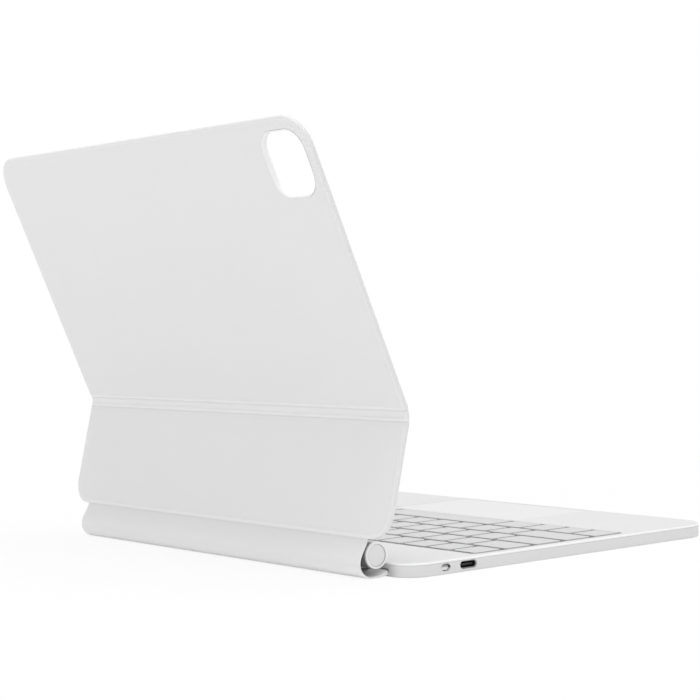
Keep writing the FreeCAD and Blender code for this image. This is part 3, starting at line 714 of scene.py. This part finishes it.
class CaseJointSizes(bpy.types.PropertyGroup):
    """The soft strips that cross the fold and wrap the barrel"""

    recess: length("Recess", "How far the fold lies under the panels' outer faces", 0.12 * MM)
    tuck: length("Tuck", "How far a strip runs in under a panel", 1.2 * MM)
    lap: length("Lap", "How far the fold lies over the leg's end", 0.5 * MM)
    lip: length("Lip", "How far the fold's end next to the leg is raised", 0.4 * MM)
    swell: length("Swell", "How far the fold's lining swells over the knuckles", 0.9 * MM)
    swell_fade: length("Swell fade", "How far past the last knuckle the swelling fades", 15.0 * MM)
    fold_end: length("Fold end", "Rounding of the fold's two ends", 0.7 * MM)
    spine_thickness: length("Spine thickness", "Thickness of the skin behind the barrel", 0.8 * MM)
    heel_thickness: length("Heel thickness", "Thickness of that skin under the leg's heel", 0.5 * MM)
    spine_lining: length("Spine lining", "How much of that thickness is lining", 0.2 * MM)
    heel_depth: length("Heel depth", "How far that skin lies under the leg's board", 0.3 * MM)
    spine_rise: length("Spine rise", "How far the flap's lower edge rises to the base", 0.65 * MM)
    spine_root: length("Spine root", "How much thicker the flap is at the base", 1.3 * MM)
    spine_belly: length("Spine belly", "Radius of the round part next to the floor", 6.2 * MM)
    spine_ease: length("Spine ease", "How slowly the skin turns between belly and heel", 4.0 * MM)


class CaseKeySizes(bpy.types.PropertyGroup):
    """The domes and the crossed links under the keys"""

    sheet_thickness: length("Sheet thickness", "Thickness of the silicone sheet", 0.2 * MM)
    skirt_spread: number("Skirt spread", "Added width of a dome's foot, in top widths", 0.85, min=0.0)
    link_length: length("Link length", "Longest link, from end to end", 11.0 * MM)
    link_width: length("Link width", "Width of the outer link", 11.0 * MM)
    link_bar: length("Link bar", "Width of a link's bars", 0.9 * MM)
    link_thickness: length("Link thickness", "Thickness of a link's bars", 0.6 * MM)
    link_clearance: length("Link clearance", "Room between the outer and the inner link", 0.3 * MM)
    link_room: length("Link room", "How much shorter than its key a link is", 2.3 * MM)


class CaseColours(bpy.types.PropertyGroup):
    """Colours of the finishes"""

    skin: paint("Skin", "Coated sheet outside the leg, the cover and the spine", (0.765, 0.765, 0.765))
    shell: paint("Shell", "Moulded base, deck and barrel", (0.715, 0.715, 0.715))
    keycap: paint("Keycap", "Moulded keys", (0.62, 0.62, 0.62))
    trackpad: paint("Trackpad", "Satin trackpad plate", (0.78, 0.78, 0.78))
    lining: paint("Lining", "Microfibre on the side of the device", (0.62, 0.62, 0.63))
    steel: paint("Steel", "Pins, leaves, screws and springs", (0.56, 0.57, 0.58))
    port: paint("Port", "Plated shell of the port", (0.3, 0.3, 0.31))
    black: paint("Black", "Insulating plastic", (0.02, 0.02, 0.022))
    circuit: paint("Circuit", "Solder mask", (0.03, 0.14, 0.09))
    film: paint("Film", "Printed film", (0.72, 0.74, 0.72))
    pouch: paint("Pouch", "Battery foil", (0.5, 0.51, 0.53))
    silicone: paint("Silicone", "Key domes and their sheet", (0.24, 0.24, 0.24))
    board: paint("Board", "Stiffening board inside the panels", (0.36, 0.36, 0.35))
    # Dark colour that paints the shade on the barrel under the spine's skin
    skin_shadow: paint("Bare barrel", "Unpainted side of the barrel", (0.26, 0.26, 0.27))
    floor: paint("Floor", "Studio floor", (0.92, 0.92, 0.92))


class CaseStage(bpy.types.PropertyGroup):
    """Camera and lights"""

    lens: number("Lens", "Focal length on a 36 mm frame", 97.67, unit="CAMERA")
    azimuth: angle("Azimuth", "Way from which the camera looks", 232.114)
    pitch: angle("Pitch", "How far the camera looks down", 1.532)
    roll: angle("Roll", "Turn of the camera about its own line of sight", -1.675)
    stand_at: bpy.props.FloatVectorProperty(
        name="Camera place", description="Where the camera stands",
        default=(-0.708727, 0.572739, 0.11295), subtype="TRANSLATION",
    )
    ambient: number("Ambient", "Strength of the even white surroundings", 0.51)
    top_power: power("Top light", "Power of the large panel overhead", 11.6)
    side_power: power("Side light", "Power of the panel on the port's side", 3.5)
    back_power: power("Back light", "Power of the low panel behind the cover", 4.3)


# Leg and cover
def lining_seat(inner, sizes):
    """Height of the face that the lining lies against, a hair clear of the lining's back."""
    return inner + sizes.lining_depth + 0.02 * MM


def edge_profile(inner, outer, sizes):
    """(inset, height) steps from under the lining, over the edge, to inside the hem line.

    Two quarter circles join the inner face, the side and the outer face. A low bead and then
    the hem, a shallow groove, follow inside the edge, each shaped as a raised cosine.
    """
    seat = lining_seat(inner, sizes)
    lip = sizes.lining_inset
    small = sizes.inner_round
    large = sizes.outer_round
    way = np.linspace(-1, 1, 9)
    swell = 0.5 * (1 + np.cos(np.pi * way))
    bead = np.column_stack([large + (0.05 + 0.3 * (1 + way)) * MM, outer + sizes.bead_height * swell])
    hem = np.column_stack([sizes.hem_inset + 0.4 * MM * way, outer - sizes.hem_depth * swell])
    return np.vstack([
        [(lip + 1.2 * MM, seat), (lip, seat), (lip, inner + 0.1 * MM), (lip - 0.1 * MM, inner)],
        [(small + 0.1 * MM, inner)],
        quarter(small, inner + small, small, 270, 180),
        [(0.0, inner + small + 0.05 * MM), (0.0, outer - large - 0.05 * MM)],
        quarter(large, outer - large, large, 180, 90),
        bead,
        hem,
        [(sizes.hem_inset + 0.5 * MM, outer)],
    ])


def edge_tone(profile, outer, sizes):
    """Tone of each step of an edge, where light and shade are painted: 1 on the outer rounding and on
    the bead, 0 elsewhere.
    """
    inset, height = profile.T
    painted_edge = (height > outer - sizes.outer_round) & (inset < sizes.outer_round + 0.7 * MM)
    return np.where(painted_edge, 1.0, 0.0)[:, None]


def lining_profile(inner, sizes):
    """(inset, height) steps over the edge of the lining, from its back to its face."""
    inset = sizes.lining_inset + 0.04 * MM
    back = inner + sizes.lining_depth
    return np.array([
        (inset, back),
        (inset, inner + 0.12 * MM),
        (inset + 0.04 * MM, inner + 0.04 * MM),
        (inset + 0.12 * MM, inner),
        (inset + 0.2 * MM, inner),
    ])


def dress(piece, material, slot, *nodes):
    """Finish a new piece and hide the nodes that it stands for. The slot is not used."""
    wear(piece, material)
    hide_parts(*nodes)


class KEYBOARD_CASE_OT_cover(bpy.types.Operator):
    """Build the cover's shell, its lining and the rim round its window"""

    bl_idname = "keyboard_case.cover"
    bl_label = "Cover"

    def execute(self, context):
        sizes = context.scene.case_panels
        colours = context.scene.case_colours
        low, high = flat_box("cover", "cover_outer_skin", "cover_liner")
        hole_low, hole_high = flat_box("cover", "camera_window_trim")
        inner = low[2]
        outer = high[2]
        corners = (sizes.top_corner, sizes.fold_corner)
        hole_corners = (sizes.window_corner, sizes.window_corner)
        seat = lining_seat(inner, sizes)

        profile = edge_profile(inner, outer, sizes)
        edge = loop_rings(low, high, *corners, profile)
        window_edge = np.array([
            (-1.3 * MM, outer),
            (-0.7 * MM, outer),
            (-0.4 * MM, outer - 0.03 * MM),
            (-0.12 * MM, outer - 0.12 * MM),
            (-0.02 * MM, outer - 0.3 * MM),
            (-0.02 * MM, seat),
        ])
        window = loop_rings(hole_low, hole_high, *hole_corners, window_edge)
        rings = np.concatenate([edge, window])
        shell = add_piece("cover_shell", stand(rings, "cover"), "join")
        # Painted highlight on the outer rounding and the bead: faint all round, stronger along the
        # edge at the fold
        share = np.interp(rings[..., 1], [high[1] - 4 * MM, high[1] - 2 * MM], [0.15, 0.6])
        painted_edge = np.vstack([edge_tone(profile, outer, sizes), 0 * window_edge[:, :1]])
        tint(shell, rings, painted_edge * share)
        dress(shell, skin_finish(colours.skin), "skin", "cover_outer_skin", "cover_board")
        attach(shell, "cover")

        face = lining_profile(inner, sizes)
        lining_edge = loop_rings(low, high, *corners, face)
        hole_face = face[::-1] * (-1, 1) + (sizes.lining_inset - 0.02 * MM, 0)
        lining_hole = loop_rings(hole_low, hole_high, *hole_corners, hole_face)
        rings = np.concatenate([lining_edge, lining_hole])
        lining = add_piece("cover_lining", stand(rings, "cover"), "join")
        microfibre = lining_finish("microfibre_lining", colours.lining)
        dress(lining, microfibre, "lining", "cover_liner")
        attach(lining, "cover")

        width = sizes.rim_width
        rim_profile = np.vstack([
            [(0.0, inner + 0.2 * MM), (0.0, outer - 0.05 * MM)],
            quarter(0.14 * MM, outer - 0.04 * MM, 0.14 * MM, 180, 90),
            [(0.26 * MM, outer + 0.1 * MM), (0.3 * MM, outer + 0.09 * MM)],
            [(width - 0.04 * MM, outer - 0.5 * MM), (width, outer - 0.6 * MM)],
            [(width, inner + 0.25 * MM), (width - 0.1 * MM, inner + 0.1 * MM)],
            [(0.1 * MM, inner + 0.1 * MM)],
        ])
        rings = loop_rings(hole_low, hole_high, *hole_corners, rim_profile)
        rim = add_piece("window_rim", stand(rings, "cover"), "join")
        # Painted highlight: the rim is made lighter than the shell so that its bevel reads as a bright
        # line
        pale = shade(colours.shell, 1.24)
        rim_material = moulded_finish("rim_plastic", pale, 0.4, 2600.0, 0.01 * MM)
        dress(rim, rim_material, "skin", "camera_window_trim")
        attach(rim, "cover")
        return {"FINISHED"}


class KEYBOARD_CASE_OT_leg(bpy.types.Operator):
    """Build the leg's shell and its lining"""

    bl_idname = "keyboard_case.leg"
    bl_label = "Leg"

    def execute(self, context):
        sizes = context.scene.case_panels
        low, high = flat_box("leg", "leg_outer_skin", "leg_liner")
        corners = (sizes.fold_corner, sizes.heel_corner)
        profile = edge_profile(low[2], high[2], sizes)
        rings = loop_rings(low, high, *corners, profile)
        shell = add_piece("leg_shell", stand(rings, "leg"), "fan")
        # Painted light and shade on the outer rounding and the bead: shade along the fold's edge, a
        # faint highlight along the sides and a stronger one along the heel
        places = [low[1] + 2 * MM, low[1] + 4 * MM, high[1] - 5 * MM, high[1]]
        share = np.interp(rings[..., 1], places, [-0.6, 0.1, 0.1, 0.7])
        tint(shell, rings, edge_tone(profile, high[2], sizes) * share)
        dress(shell, bpy.data.materials["soft_skin"], "skin", "leg_outer_skin", "leg_board")
        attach(shell, "leg")
        rings = loop_rings(low, high, *corners, lining_profile(low[2], sizes))
        lining = add_piece("leg_lining", stand(rings, "leg"), "fan")
        dress(lining, bpy.data.materials["microfibre_lining"], "lining", "leg_liner")
        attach(lining, "leg")
        return {"FINISHED"}


class KEYBOARD_CASE_OT_fold(bpy.types.Operator):
    """Build the skin and the lining that cross the fold between leg and cover"""

    bl_idname = "keyboard_case.fold"
    bl_label = "Fold"

    def execute(self, context):
        panels = context.scene.case_panels
        sizes = context.scene.case_joints
        leg_low, leg_high = flat_box("leg", "leg_outer_skin", "leg_liner")
        cover_high = flat_box("cover", "cover_outer_skin", "cover_liner")[1]
        half = leg_high[0]
        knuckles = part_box("fold_pins")[1][0]

        def strip(name, height, pull, thickness, lap, relief, swell, inset, end_round):
            """Cubic curve from inside the leg's end to inside the cover's end, as a strip.

            The outer face has a lip next to the leg and a groove next to the cover, each half a
            cosine, scaled by relief. The strip swells inwards over the fold's knuckles as a
            raised cosine, which fades between the last knuckle and the strip's ends.
            """
            flat = np.array([(0, leg_low[1] + lap, height), (0, leg_low[1], height)])
            far = np.array([(0, cover_high[1], height), (0, cover_high[1] - sizes.tuck, height)])
            start = stand(flat, "leg")[:, 1:]
            end = stand(far, "cover")[:, 1:]
            way = np.linspace(0, 1, 61)
            start_way = unit(start[1] - start[0])
            end_way = unit(end[1] - end[0])
            middle = bend(start[1], start_way, end[0], end_way, pull, len(way))
            path = np.vstack([start[:1], middle, end[1:]])
            inward = inward_of(path)
            way = np.concatenate([way[:1], way, way[-1:]])
            lip = 0.5 + 0.5 * np.cos(np.pi * np.clip(way / 0.3, 0, 1))
            groove = 0.5 + 0.5 * np.cos(np.pi * np.clip((1 - way) / 0.2, 0, 1))
            raised = relief * (lip - 0.5 * groove)
            path = path - inward * raised[:, None] / 2
            rings = strip_rings(path, inward, thickness + raised, half - inset, end_round)
            bulge = swell * 0.5 * (1 - np.cos(2 * np.pi * way))[:, None] * inward
            faded = knuckles + sizes.swell_fade
            share = np.interp(np.abs(rings[..., :1]), [knuckles, faded], [1, 0])
            rings[..., 1:] += share * np.concatenate([bulge, bulge[::-1]])
            piece = add_piece(name, rings, "strip")
            # Painted light and shade on the skin's outer face: a little lighter all over, a highlight
            # on the lip, shade in the groove
            if relief:
                tint(piece, rings, np.concatenate([0.2 + 0.7 * lip - 1.1 * groove, 0 * way]))
            return piece, (0, *start[1]), (0, *end[0])

        top = leg_high[2] - sizes.recess
        seat = leg_low[2] + panels.lining_depth + 0.04 * MM
        skin, start, end = strip(
            "fold_skin", (top + seat) / 2, 1.6 * MM, top - seat, sizes.lap, sizes.lip, 0.0,
            0.02 * MM, sizes.fold_end,
        )
        dress(skin, bpy.data.materials["soft_skin"], "skin", "fold_strip")
        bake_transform(skin)

        back = leg_low[2] + panels.lining_depth / 2
        lining, start, end = strip(
            "fold_lining", back, 2.2 * MM, panels.lining_depth, sizes.tuck, 0.0, sizes.swell,
            panels.lining_inset, 0.35 * MM,
        )
        dress(lining, bpy.data.materials["microfibre_lining"], "lining", "fold_strip")
        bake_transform(lining)
        return {"FINISHED"}


class KEYBOARD_CASE_OT_spine(bpy.types.Operator):
    """Build the soft skin and its lining, which wrap the barrel from the base to the leg"""

    bl_idname = "keyboard_case.spine"
    bl_label = "Spine"

    def execute(self, context):
        sizes = context.scene.case_joints
        low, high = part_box("spine_cover")
        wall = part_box("base_frame")[1][1]
        board_high = flat_box("leg", "leg_board")[1]
        heel = np.array([
            (0, board_high[1], board_high[2] - sizes.heel_depth),
            (0, board_high[1] - sizes.tuck / 3, board_high[2] - sizes.heel_depth),
        ])
        heel = stand(heel, "leg")[:, 1:]
        up = unit(heel[1] - heel[0])

        # The flap falls from the base on a parabola, the belly is a quarter circle that touches
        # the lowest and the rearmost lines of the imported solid, and a cubic curve climbs from
        # there to the leg's heel.
        radius = sizes.spine_belly
        centre = np.array([high[1] - radius, low[2] + radius])
        way = np.linspace(0, 1, 14)[:-1]
        rise = (1 - way) ** 2
        y = wall + (centre[0] - wall) * way
        flap = np.column_stack([y, low[2] + sizes.spine_rise * rise])
        turn = np.linspace(-0.5 * np.pi, 0, 19)
        belly = centre + radius * np.column_stack([np.cos(turn), np.sin(turn)])
        climb = bend(belly[-1], np.array([0.0, 1.0]), heel[0], up, sizes.spine_ease, 25)[1:]
        outside = np.vstack([flap, belly, climb, heel[1:]])
        inward = inward_of(outside)
        past_belly = np.arange(len(outside)) - len(flap) - len(belly)
        share = np.clip(past_belly / len(climb), 0, 1)
        thickness = sizes.spine_thickness + (sizes.heel_thickness - sizes.spine_thickness) * share
        thickness[:len(flap)] += sizes.spine_root * rise
        skin_depth = thickness - sizes.spine_lining
        lining_depth = np.full(len(outside), sizes.spine_lining)
        # Painted light and shade down the skin: darker under the leg's heel, lighter towards the
        # floor, most in the lowest third
        climbed = (outside[:, 1] - low[2]) / (heel[0][1] - low[2])
        tone = 1 - 1.5 * climbed + np.clip(1 - 3 * climbed, 0, 1)
        lining_finish("pale_lining", context.scene.case_colours.skin)
        for name, begins, depth, inset, slot, finish in (
            ("spine_skin", 0 * thickness, skin_depth, 0.0, "skin", "soft_skin"),
            ("spine_lining", skin_depth, lining_depth, 0.4 * MM, "lining", "pale_lining"),
        ):
            path = outside + inward * (begins + depth / 2)[:, None]
            rings = strip_rings(path, inward, depth, high[0] - inset, 0.3 * MM)
            piece = add_piece(name, rings, "strip")
            if finish == "soft_skin":
                tint(piece, rings, np.concatenate([tone, 0 * tone]))
            dress(piece, bpy.data.materials[finish], slot, "spine_cover")
            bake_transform(piece)
        return {"FINISHED"}


# Base and keys
class KEYBOARD_CASE_OT_base(bpy.types.Operator):
    """Finish the base's shells"""

    bl_idname = "keyboard_case.base"
    bl_label = "Base"

    def execute(self, context):
        shell = base_finish(context.scene.case_colours.shell)
        wear_nodes(shell, "base_bottom_cover", "base_frame", "deck_plate")
        return {"FINISHED"}


class KEYBOARD_CASE_OT_keys(bpy.types.Operator):
    """Finish the keys and the trackpad"""

    bl_idname = "keyboard_case.keys"
    bl_label = "Keys and trackpad"

    def execute(self, context):
        colours = context.scene.case_colours
        caps = moulded_finish("key_plastic", colours.keycap, 0.5, 3400.0, 0.012 * MM)
        wear_nodes(caps, *KEYS)
        wear_nodes(trackpad_finish(colours.trackpad), "trackpad_plate")
        return {"FINISHED"}


def dome_grids(x, y, radius, low, high, sizes):
    """One dome for each x: a profile of radius against height, turned about an upright axis.

    The skirt narrows from its foot with half a cosine and ends in a short upright plunger.
    """
    way = np.linspace(0, 1, 7)
    plunger = 0.9 * MM
    skirt_top = high - plunger
    skirt_low = low + sizes.sheet_thickness
    spread = radius * sizes.skirt_spread * (0.5 + 0.5 * np.cos(np.pi * way))
    profile = np.vstack([
        [(radius + spread[0], low)],
        np.column_stack([radius + spread, skirt_low + (skirt_top - skirt_low) * way]),
        [(radius, high - 0.12 * MM), (radius - 0.1 * MM, high - 0.02 * MM)],
    ])
    turn = np.linspace(0, 2 * np.pi, 20, endpoint=False)
    circle = np.column_stack([np.cos(turn), np.sin(turn), 0 * turn])
    dome = profile[:, None, :1] * circle + profile[:, None, 1:] * (0, 0, 1)
    places = np.column_stack([x, np.full(len(x), y), np.zeros(len(x))])
    return dome + places[:, None, None]


def link_grids(x, y, reach, low, high, sizes):
    """Two crossed frames for each x, one inside the other: a bevelled bar round a rectangle."""
    half = sizes.link_thickness / 2
    bar = sizes.link_bar
    bevel = 0.1 * MM
    upper = np.array([(0, half - bevel), (bevel, half), (bar - bevel, half), (bar, half - bevel)])
    profile = np.vstack([upper, upper[::-1] * (1, -1)])
    run = reach - sizes.link_thickness
    tilt = math.degrees(math.asin((high - low - sizes.link_thickness) / reach))
    places = np.column_stack([x, np.full(len(x), y), np.full(len(x), (low + high) / 2)])
    grids = []
    inner_width = sizes.link_width - 2 * (bar + sizes.link_clearance)
    for width, lean in ((sizes.link_width, tilt), (inner_width, -tilt)):
        corner = np.array([width / 2, run / 2])
        frame_rings = loop_rings(-corner, corner, 0.5 * MM, 0.5 * MM, profile, 3, 0)
        grids.append(turn_about(frame_rings, (0, 0, 0), lean) + places[:, None, None])
    return np.concatenate(grids)


class KEYBOARD_CASE_OT_key_springs(bpy.types.Operator):
    """Build the silicone sheet, its domes and the crossed links under the keys"""

    bl_idname = "keyboard_case.key_springs"
    bl_label = "Domes and links"

    def execute(self, context):
        sizes = context.scene.case_keys
        colours = context.scene.case_colours
        silicone = silicone_finish(colours.silicone)
        plastic = moulded_finish("link_plastic", colours.keycap, 0.45, 2400.0, 0.01 * MM)
        low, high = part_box("dome_sheet")
        link_low, link_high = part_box("scissor_links")
        sheet_top = low[2] + sizes.sheet_thickness
        soft = 0.05 * MM
        edge = [(2 * soft, low[2]), (0.0, low[2] + soft), (0.0, sheet_top - soft), (soft, sheet_top)]
        corner = 0.5 * MM
        sheet = add_piece("silicone_sheet", loop_rings(low, high, corner, corner, edge, 4, 0), "fan")
        dress(sheet, silicone, "rubber", "dome_sheet")
        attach(sheet, "base")

        tops = node_points("dome_sheet")
        tops = tops[tops[:, 2] > high[2] - 0.01 * MM]
        between_domes = 4 * MM
        for name in KEYS:
            key_low, key_high = np.array(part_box(name))[:, :2]
            mine = tops[np.all((tops[:, :2] > key_low) & (tops[:, :2] < key_high), 1)]
            across = np.sort(mine[:, 0])
            groups = np.split(across, np.flatnonzero(np.diff(across) > between_domes) + 1)
            sides = np.array([(group[0], group[-1]) for group in groups])
            x = sides.mean(1)
            y = (mine[:, 1].min() + mine[:, 1].max()) / 2
            radius = (sides[0, 1] - sides[0, 0]) / 2
            reach = min(sizes.link_length, key_high[1] - key_low[1] - sizes.link_room)
            for kind, grids, ends, material, slot, node, foot in (
                ("domes_", dome_grids(x, y, radius, low[2], high[2], sizes), "fan",
                 silicone, "rubber", "dome_sheet", low[2]),
                ("links_", link_grids(x, y, reach, link_low[2], link_high[2], sizes), "join",
                 plastic, "link", "scissor_links", sheet_top),
            ):
                piece = add_piece(kind + name, grids, ends)
                dress(piece, material, slot, node)
                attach(piece, "base")
                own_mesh(piece)
        return {"FINISHED"}


# Hinge, port and inner works
class KEYBOARD_CASE_OT_hinge(bpy.types.Operator):
    """Finish the barrel, its caps, pins, sleeves, arms and screws"""

    bl_idname = "keyboard_case.hinge"
    bl_label = "Hinge"

    def execute(self, context):
        colours = context.scene.case_colours
        wear_nodes(barrel_finish(colours.shell, colours.skin_shadow), "hinge_barrel")
        wear_nodes(cap_finish(colours.shell), "barrel_end_caps")
        steel = metal_finish("drawn_steel", colours.steel, 0.28, (0.15, 1.0, 1.0))
        wear_nodes(steel, "hinge_pins", "fold_pins", "hinge_screws")
        sheet = metal_finish("stamped_steel", colours.steel, 0.36, (1.0, 0.2, 0.2))
        wear_nodes(sheet, "hinge_arms", "leg_fold_leaves", "cover_fold_leaves", "friction_sleeves")
        return {"FINISHED"}


class KEYBOARD_CASE_OT_port_and_button(bpy.types.Operator):
    """Finish the port and the power button"""

    bl_idname = "keyboard_case.port_and_button"
    bl_label = "Port and button"

    def execute(self, context):
        colours = context.scene.case_colours
        plated = metal_finish("port_shell", colours.port, 0.3, (0.2, 1.0, 1.0))
        wear_nodes(plated, "usb_c_shell")
        wear_nodes(contact_finish(colours.black), "usb_c_tongue")
        wear_nodes(button_finish(colours.shell), "power_button")
        return {"FINISHED"}


class KEYBOARD_CASE_OT_inner_works(bpy.types.Operator):
    """Finish what lies inside the base and the panels"""

    bl_idname = "keyboard_case.inner_works"
    bl_label = "Inner works"

    def execute(self, context):
        colours = context.scene.case_colours
        plate = metal_finish("support_plate", colours.steel, 0.4, (0.2, 1.0, 1.0))
        wear_nodes(plate, "key_support_plate", "trackpad_spring", "cover_magnets")
        wear_nodes(printed_film_finish(colours.film), "membrane_sheet", "flex_cable")
        black = moulded_finish("black_plastic", colours.black, 0.45, 2400.0, 0.01 * MM)
        wear_nodes(black, "trackpad_switch", "power_switch")
        wear_nodes(circuit_finish(colours.circuit), "main_board")
        wear_nodes(pouch_finish(colours.pouch), "battery_cells")
        board = moulded_finish("stiff_board", colours.board, 0.7, 1200.0, 0.04 * MM)
        wear_nodes(board, "leg_board", "cover_board")
        return {"FINISHED"}


# Stage
class KEYBOARD_CASE_OT_stage(bpy.types.Operator):
    """Set the floor, the lights and the camera"""

    bl_idname = "keyboard_case.stage"
    bl_label = "Stage"

    def execute(self, context):
        scene = context.scene
        stage = scene.case_stage
        scene.view_settings.view_transform = "Standard"

        reach = 8.0
        z = -0.02 * MM
        corners = [(-reach, -reach, z), (reach, -reach, z), (reach, reach, z), (-reach, reach, z)]
        mesh = bpy.data.meshes.new("studio_floor")
        mesh.from_pydata(corners, [], [(0, 1, 2, 3)])
        floor = bpy.data.objects.new("studio_floor", mesh)
        scene.collection.objects.link(floor)
        wear(floor, floor_finish(scene.case_colours.floor))

        tree = Tree(bpy.data.worlds.new("studio_surroundings"))
        strength = stage.ambient + (1.0 - stage.ambient) * tree.seen()
        sky = tree.node("ShaderNodeBackground", None, {"Color": (1, 1, 1, 1), "Strength": strength})
        tree.node("ShaderNodeOutputWorld", None, {"Surface": sky})
        scene.world = tree.owner

        def panel_light(name, place, aim, size, power):
            """A square soft panel at place, facing aim."""
            data = bpy.data.lights.new(name, "AREA")
            data.shape = "SQUARE"
            data.size = size
            data.energy = power
            lamp = bpy.data.objects.new(name, data)
            lamp.location = place
            way = Vector(aim) - Vector(place)
            lamp.rotation_euler = way.to_track_quat("-Z", "Y").to_euler()
            scene.collection.objects.link(lamp)

        panel_light("top_panel", (-0.15, -0.1, 1.3), (0, 0.02, 0), 1.4, stage.top_power)
        panel_light("side_panel", (-1.4, 0.1, 0.6), (0, 0.05, 0.05), 1.0, stage.side_power)
        panel_light("back_panel", (0.25, 1.4, 0.3), (0, 0.05, 0.1), 0.5, stage.back_power)

        level = math.cos(stage.pitch)
        east = math.sin(stage.azimuth) * level
        north = -math.cos(stage.azimuth) * level
        back = Vector((east, north, math.sin(stage.pitch)))
        right = (-back).cross(Vector((0, 0, 1))).normalized()
        up = right.cross(-back)
        cosine = math.cos(stage.roll)
        sine = math.sin(stage.roll)
        rows = (right * cosine + up * sine, up * cosine - right * sine, back)
        turn = Matrix(rows).transposed().to_4x4()
        data = bpy.data.cameras.new("viewpoint")
        data.lens = stage.lens
        data.sensor_width = 36.0
        data.clip_start = 0.01
        camera = bpy.data.objects.new("viewpoint", data)
        camera.matrix_world = Matrix.Translation(Vector(stage.stand_at)) @ turn
        scene.collection.objects.link(camera)
        scene.camera = camera
        return {"FINISHED"}


# Add-on
OPERATORS = (
    KEYBOARD_CASE_OT_cover,
    KEYBOARD_CASE_OT_leg,
    KEYBOARD_CASE_OT_fold,
    KEYBOARD_CASE_OT_spine,
    KEYBOARD_CASE_OT_base,
    KEYBOARD_CASE_OT_keys,
    KEYBOARD_CASE_OT_key_springs,
    KEYBOARD_CASE_OT_hinge,
    KEYBOARD_CASE_OT_port_and_button,
    KEYBOARD_CASE_OT_inner_works,
    KEYBOARD_CASE_OT_stage,
)
SETTINGS = (
    ("case_panels", CasePanelSizes),
    ("case_joints", CaseJointSizes),
    ("case_keys", CaseKeySizes),
    ("case_colours", CaseColours),
    ("case_stage", CaseStage),
)


class VIEW3D_PT_keyboard_case(bpy.types.Panel):
    """Lists the steps that build the case and the settings that they read"""

    bl_label = "Keyboard case"
    bl_space_type = "VIEW_3D"
    bl_region_type = "UI"
    bl_category = "Keyboard case"

    def draw(self, context):
        for step in OPERATORS:
            self.layout.operator(step.bl_idname)
        for name, group in SETTINGS:
            box = self.layout.box()
            settings = getattr(context.scene, name)
            for key in group.__annotations__:
                box.prop(settings, key)


def register():
    for name, group in SETTINGS:
        bpy.utils.register_class(group)
        setattr(bpy.types.Scene, name, bpy.props.PointerProperty(type=group))
    for step in OPERATORS:
        bpy.utils.register_class(step)
    bpy.utils.register_class(VIEW3D_PT_keyboard_case)


def unregister():
    bpy.utils.unregister_class(VIEW3D_PT_keyboard_case)
    for step in reversed(OPERATORS):
        bpy.utils.unregister_class(step)
    for name, group in reversed(SETTINGS):
        delattr(bpy.types.Scene, name)
        bpy.utils.unregister_class(group)


def main():
    register()
    bpy.ops.keyboard_case.cover()
    bpy.ops.keyboard_case.leg()
    bpy.ops.keyboard_case.fold()
    bpy.ops.keyboard_case.spine()
    bpy.ops.keyboard_case.base()
    bpy.ops.keyboard_case.keys()
    bpy.ops.keyboard_case.key_springs()
    bpy.ops.keyboard_case.hinge()
    bpy.ops.keyboard_case.port_and_button()
    bpy.ops.keyboard_case.inner_works()
    bpy.ops.keyboard_case.stage()


if __name__ == "__main__":
    main()
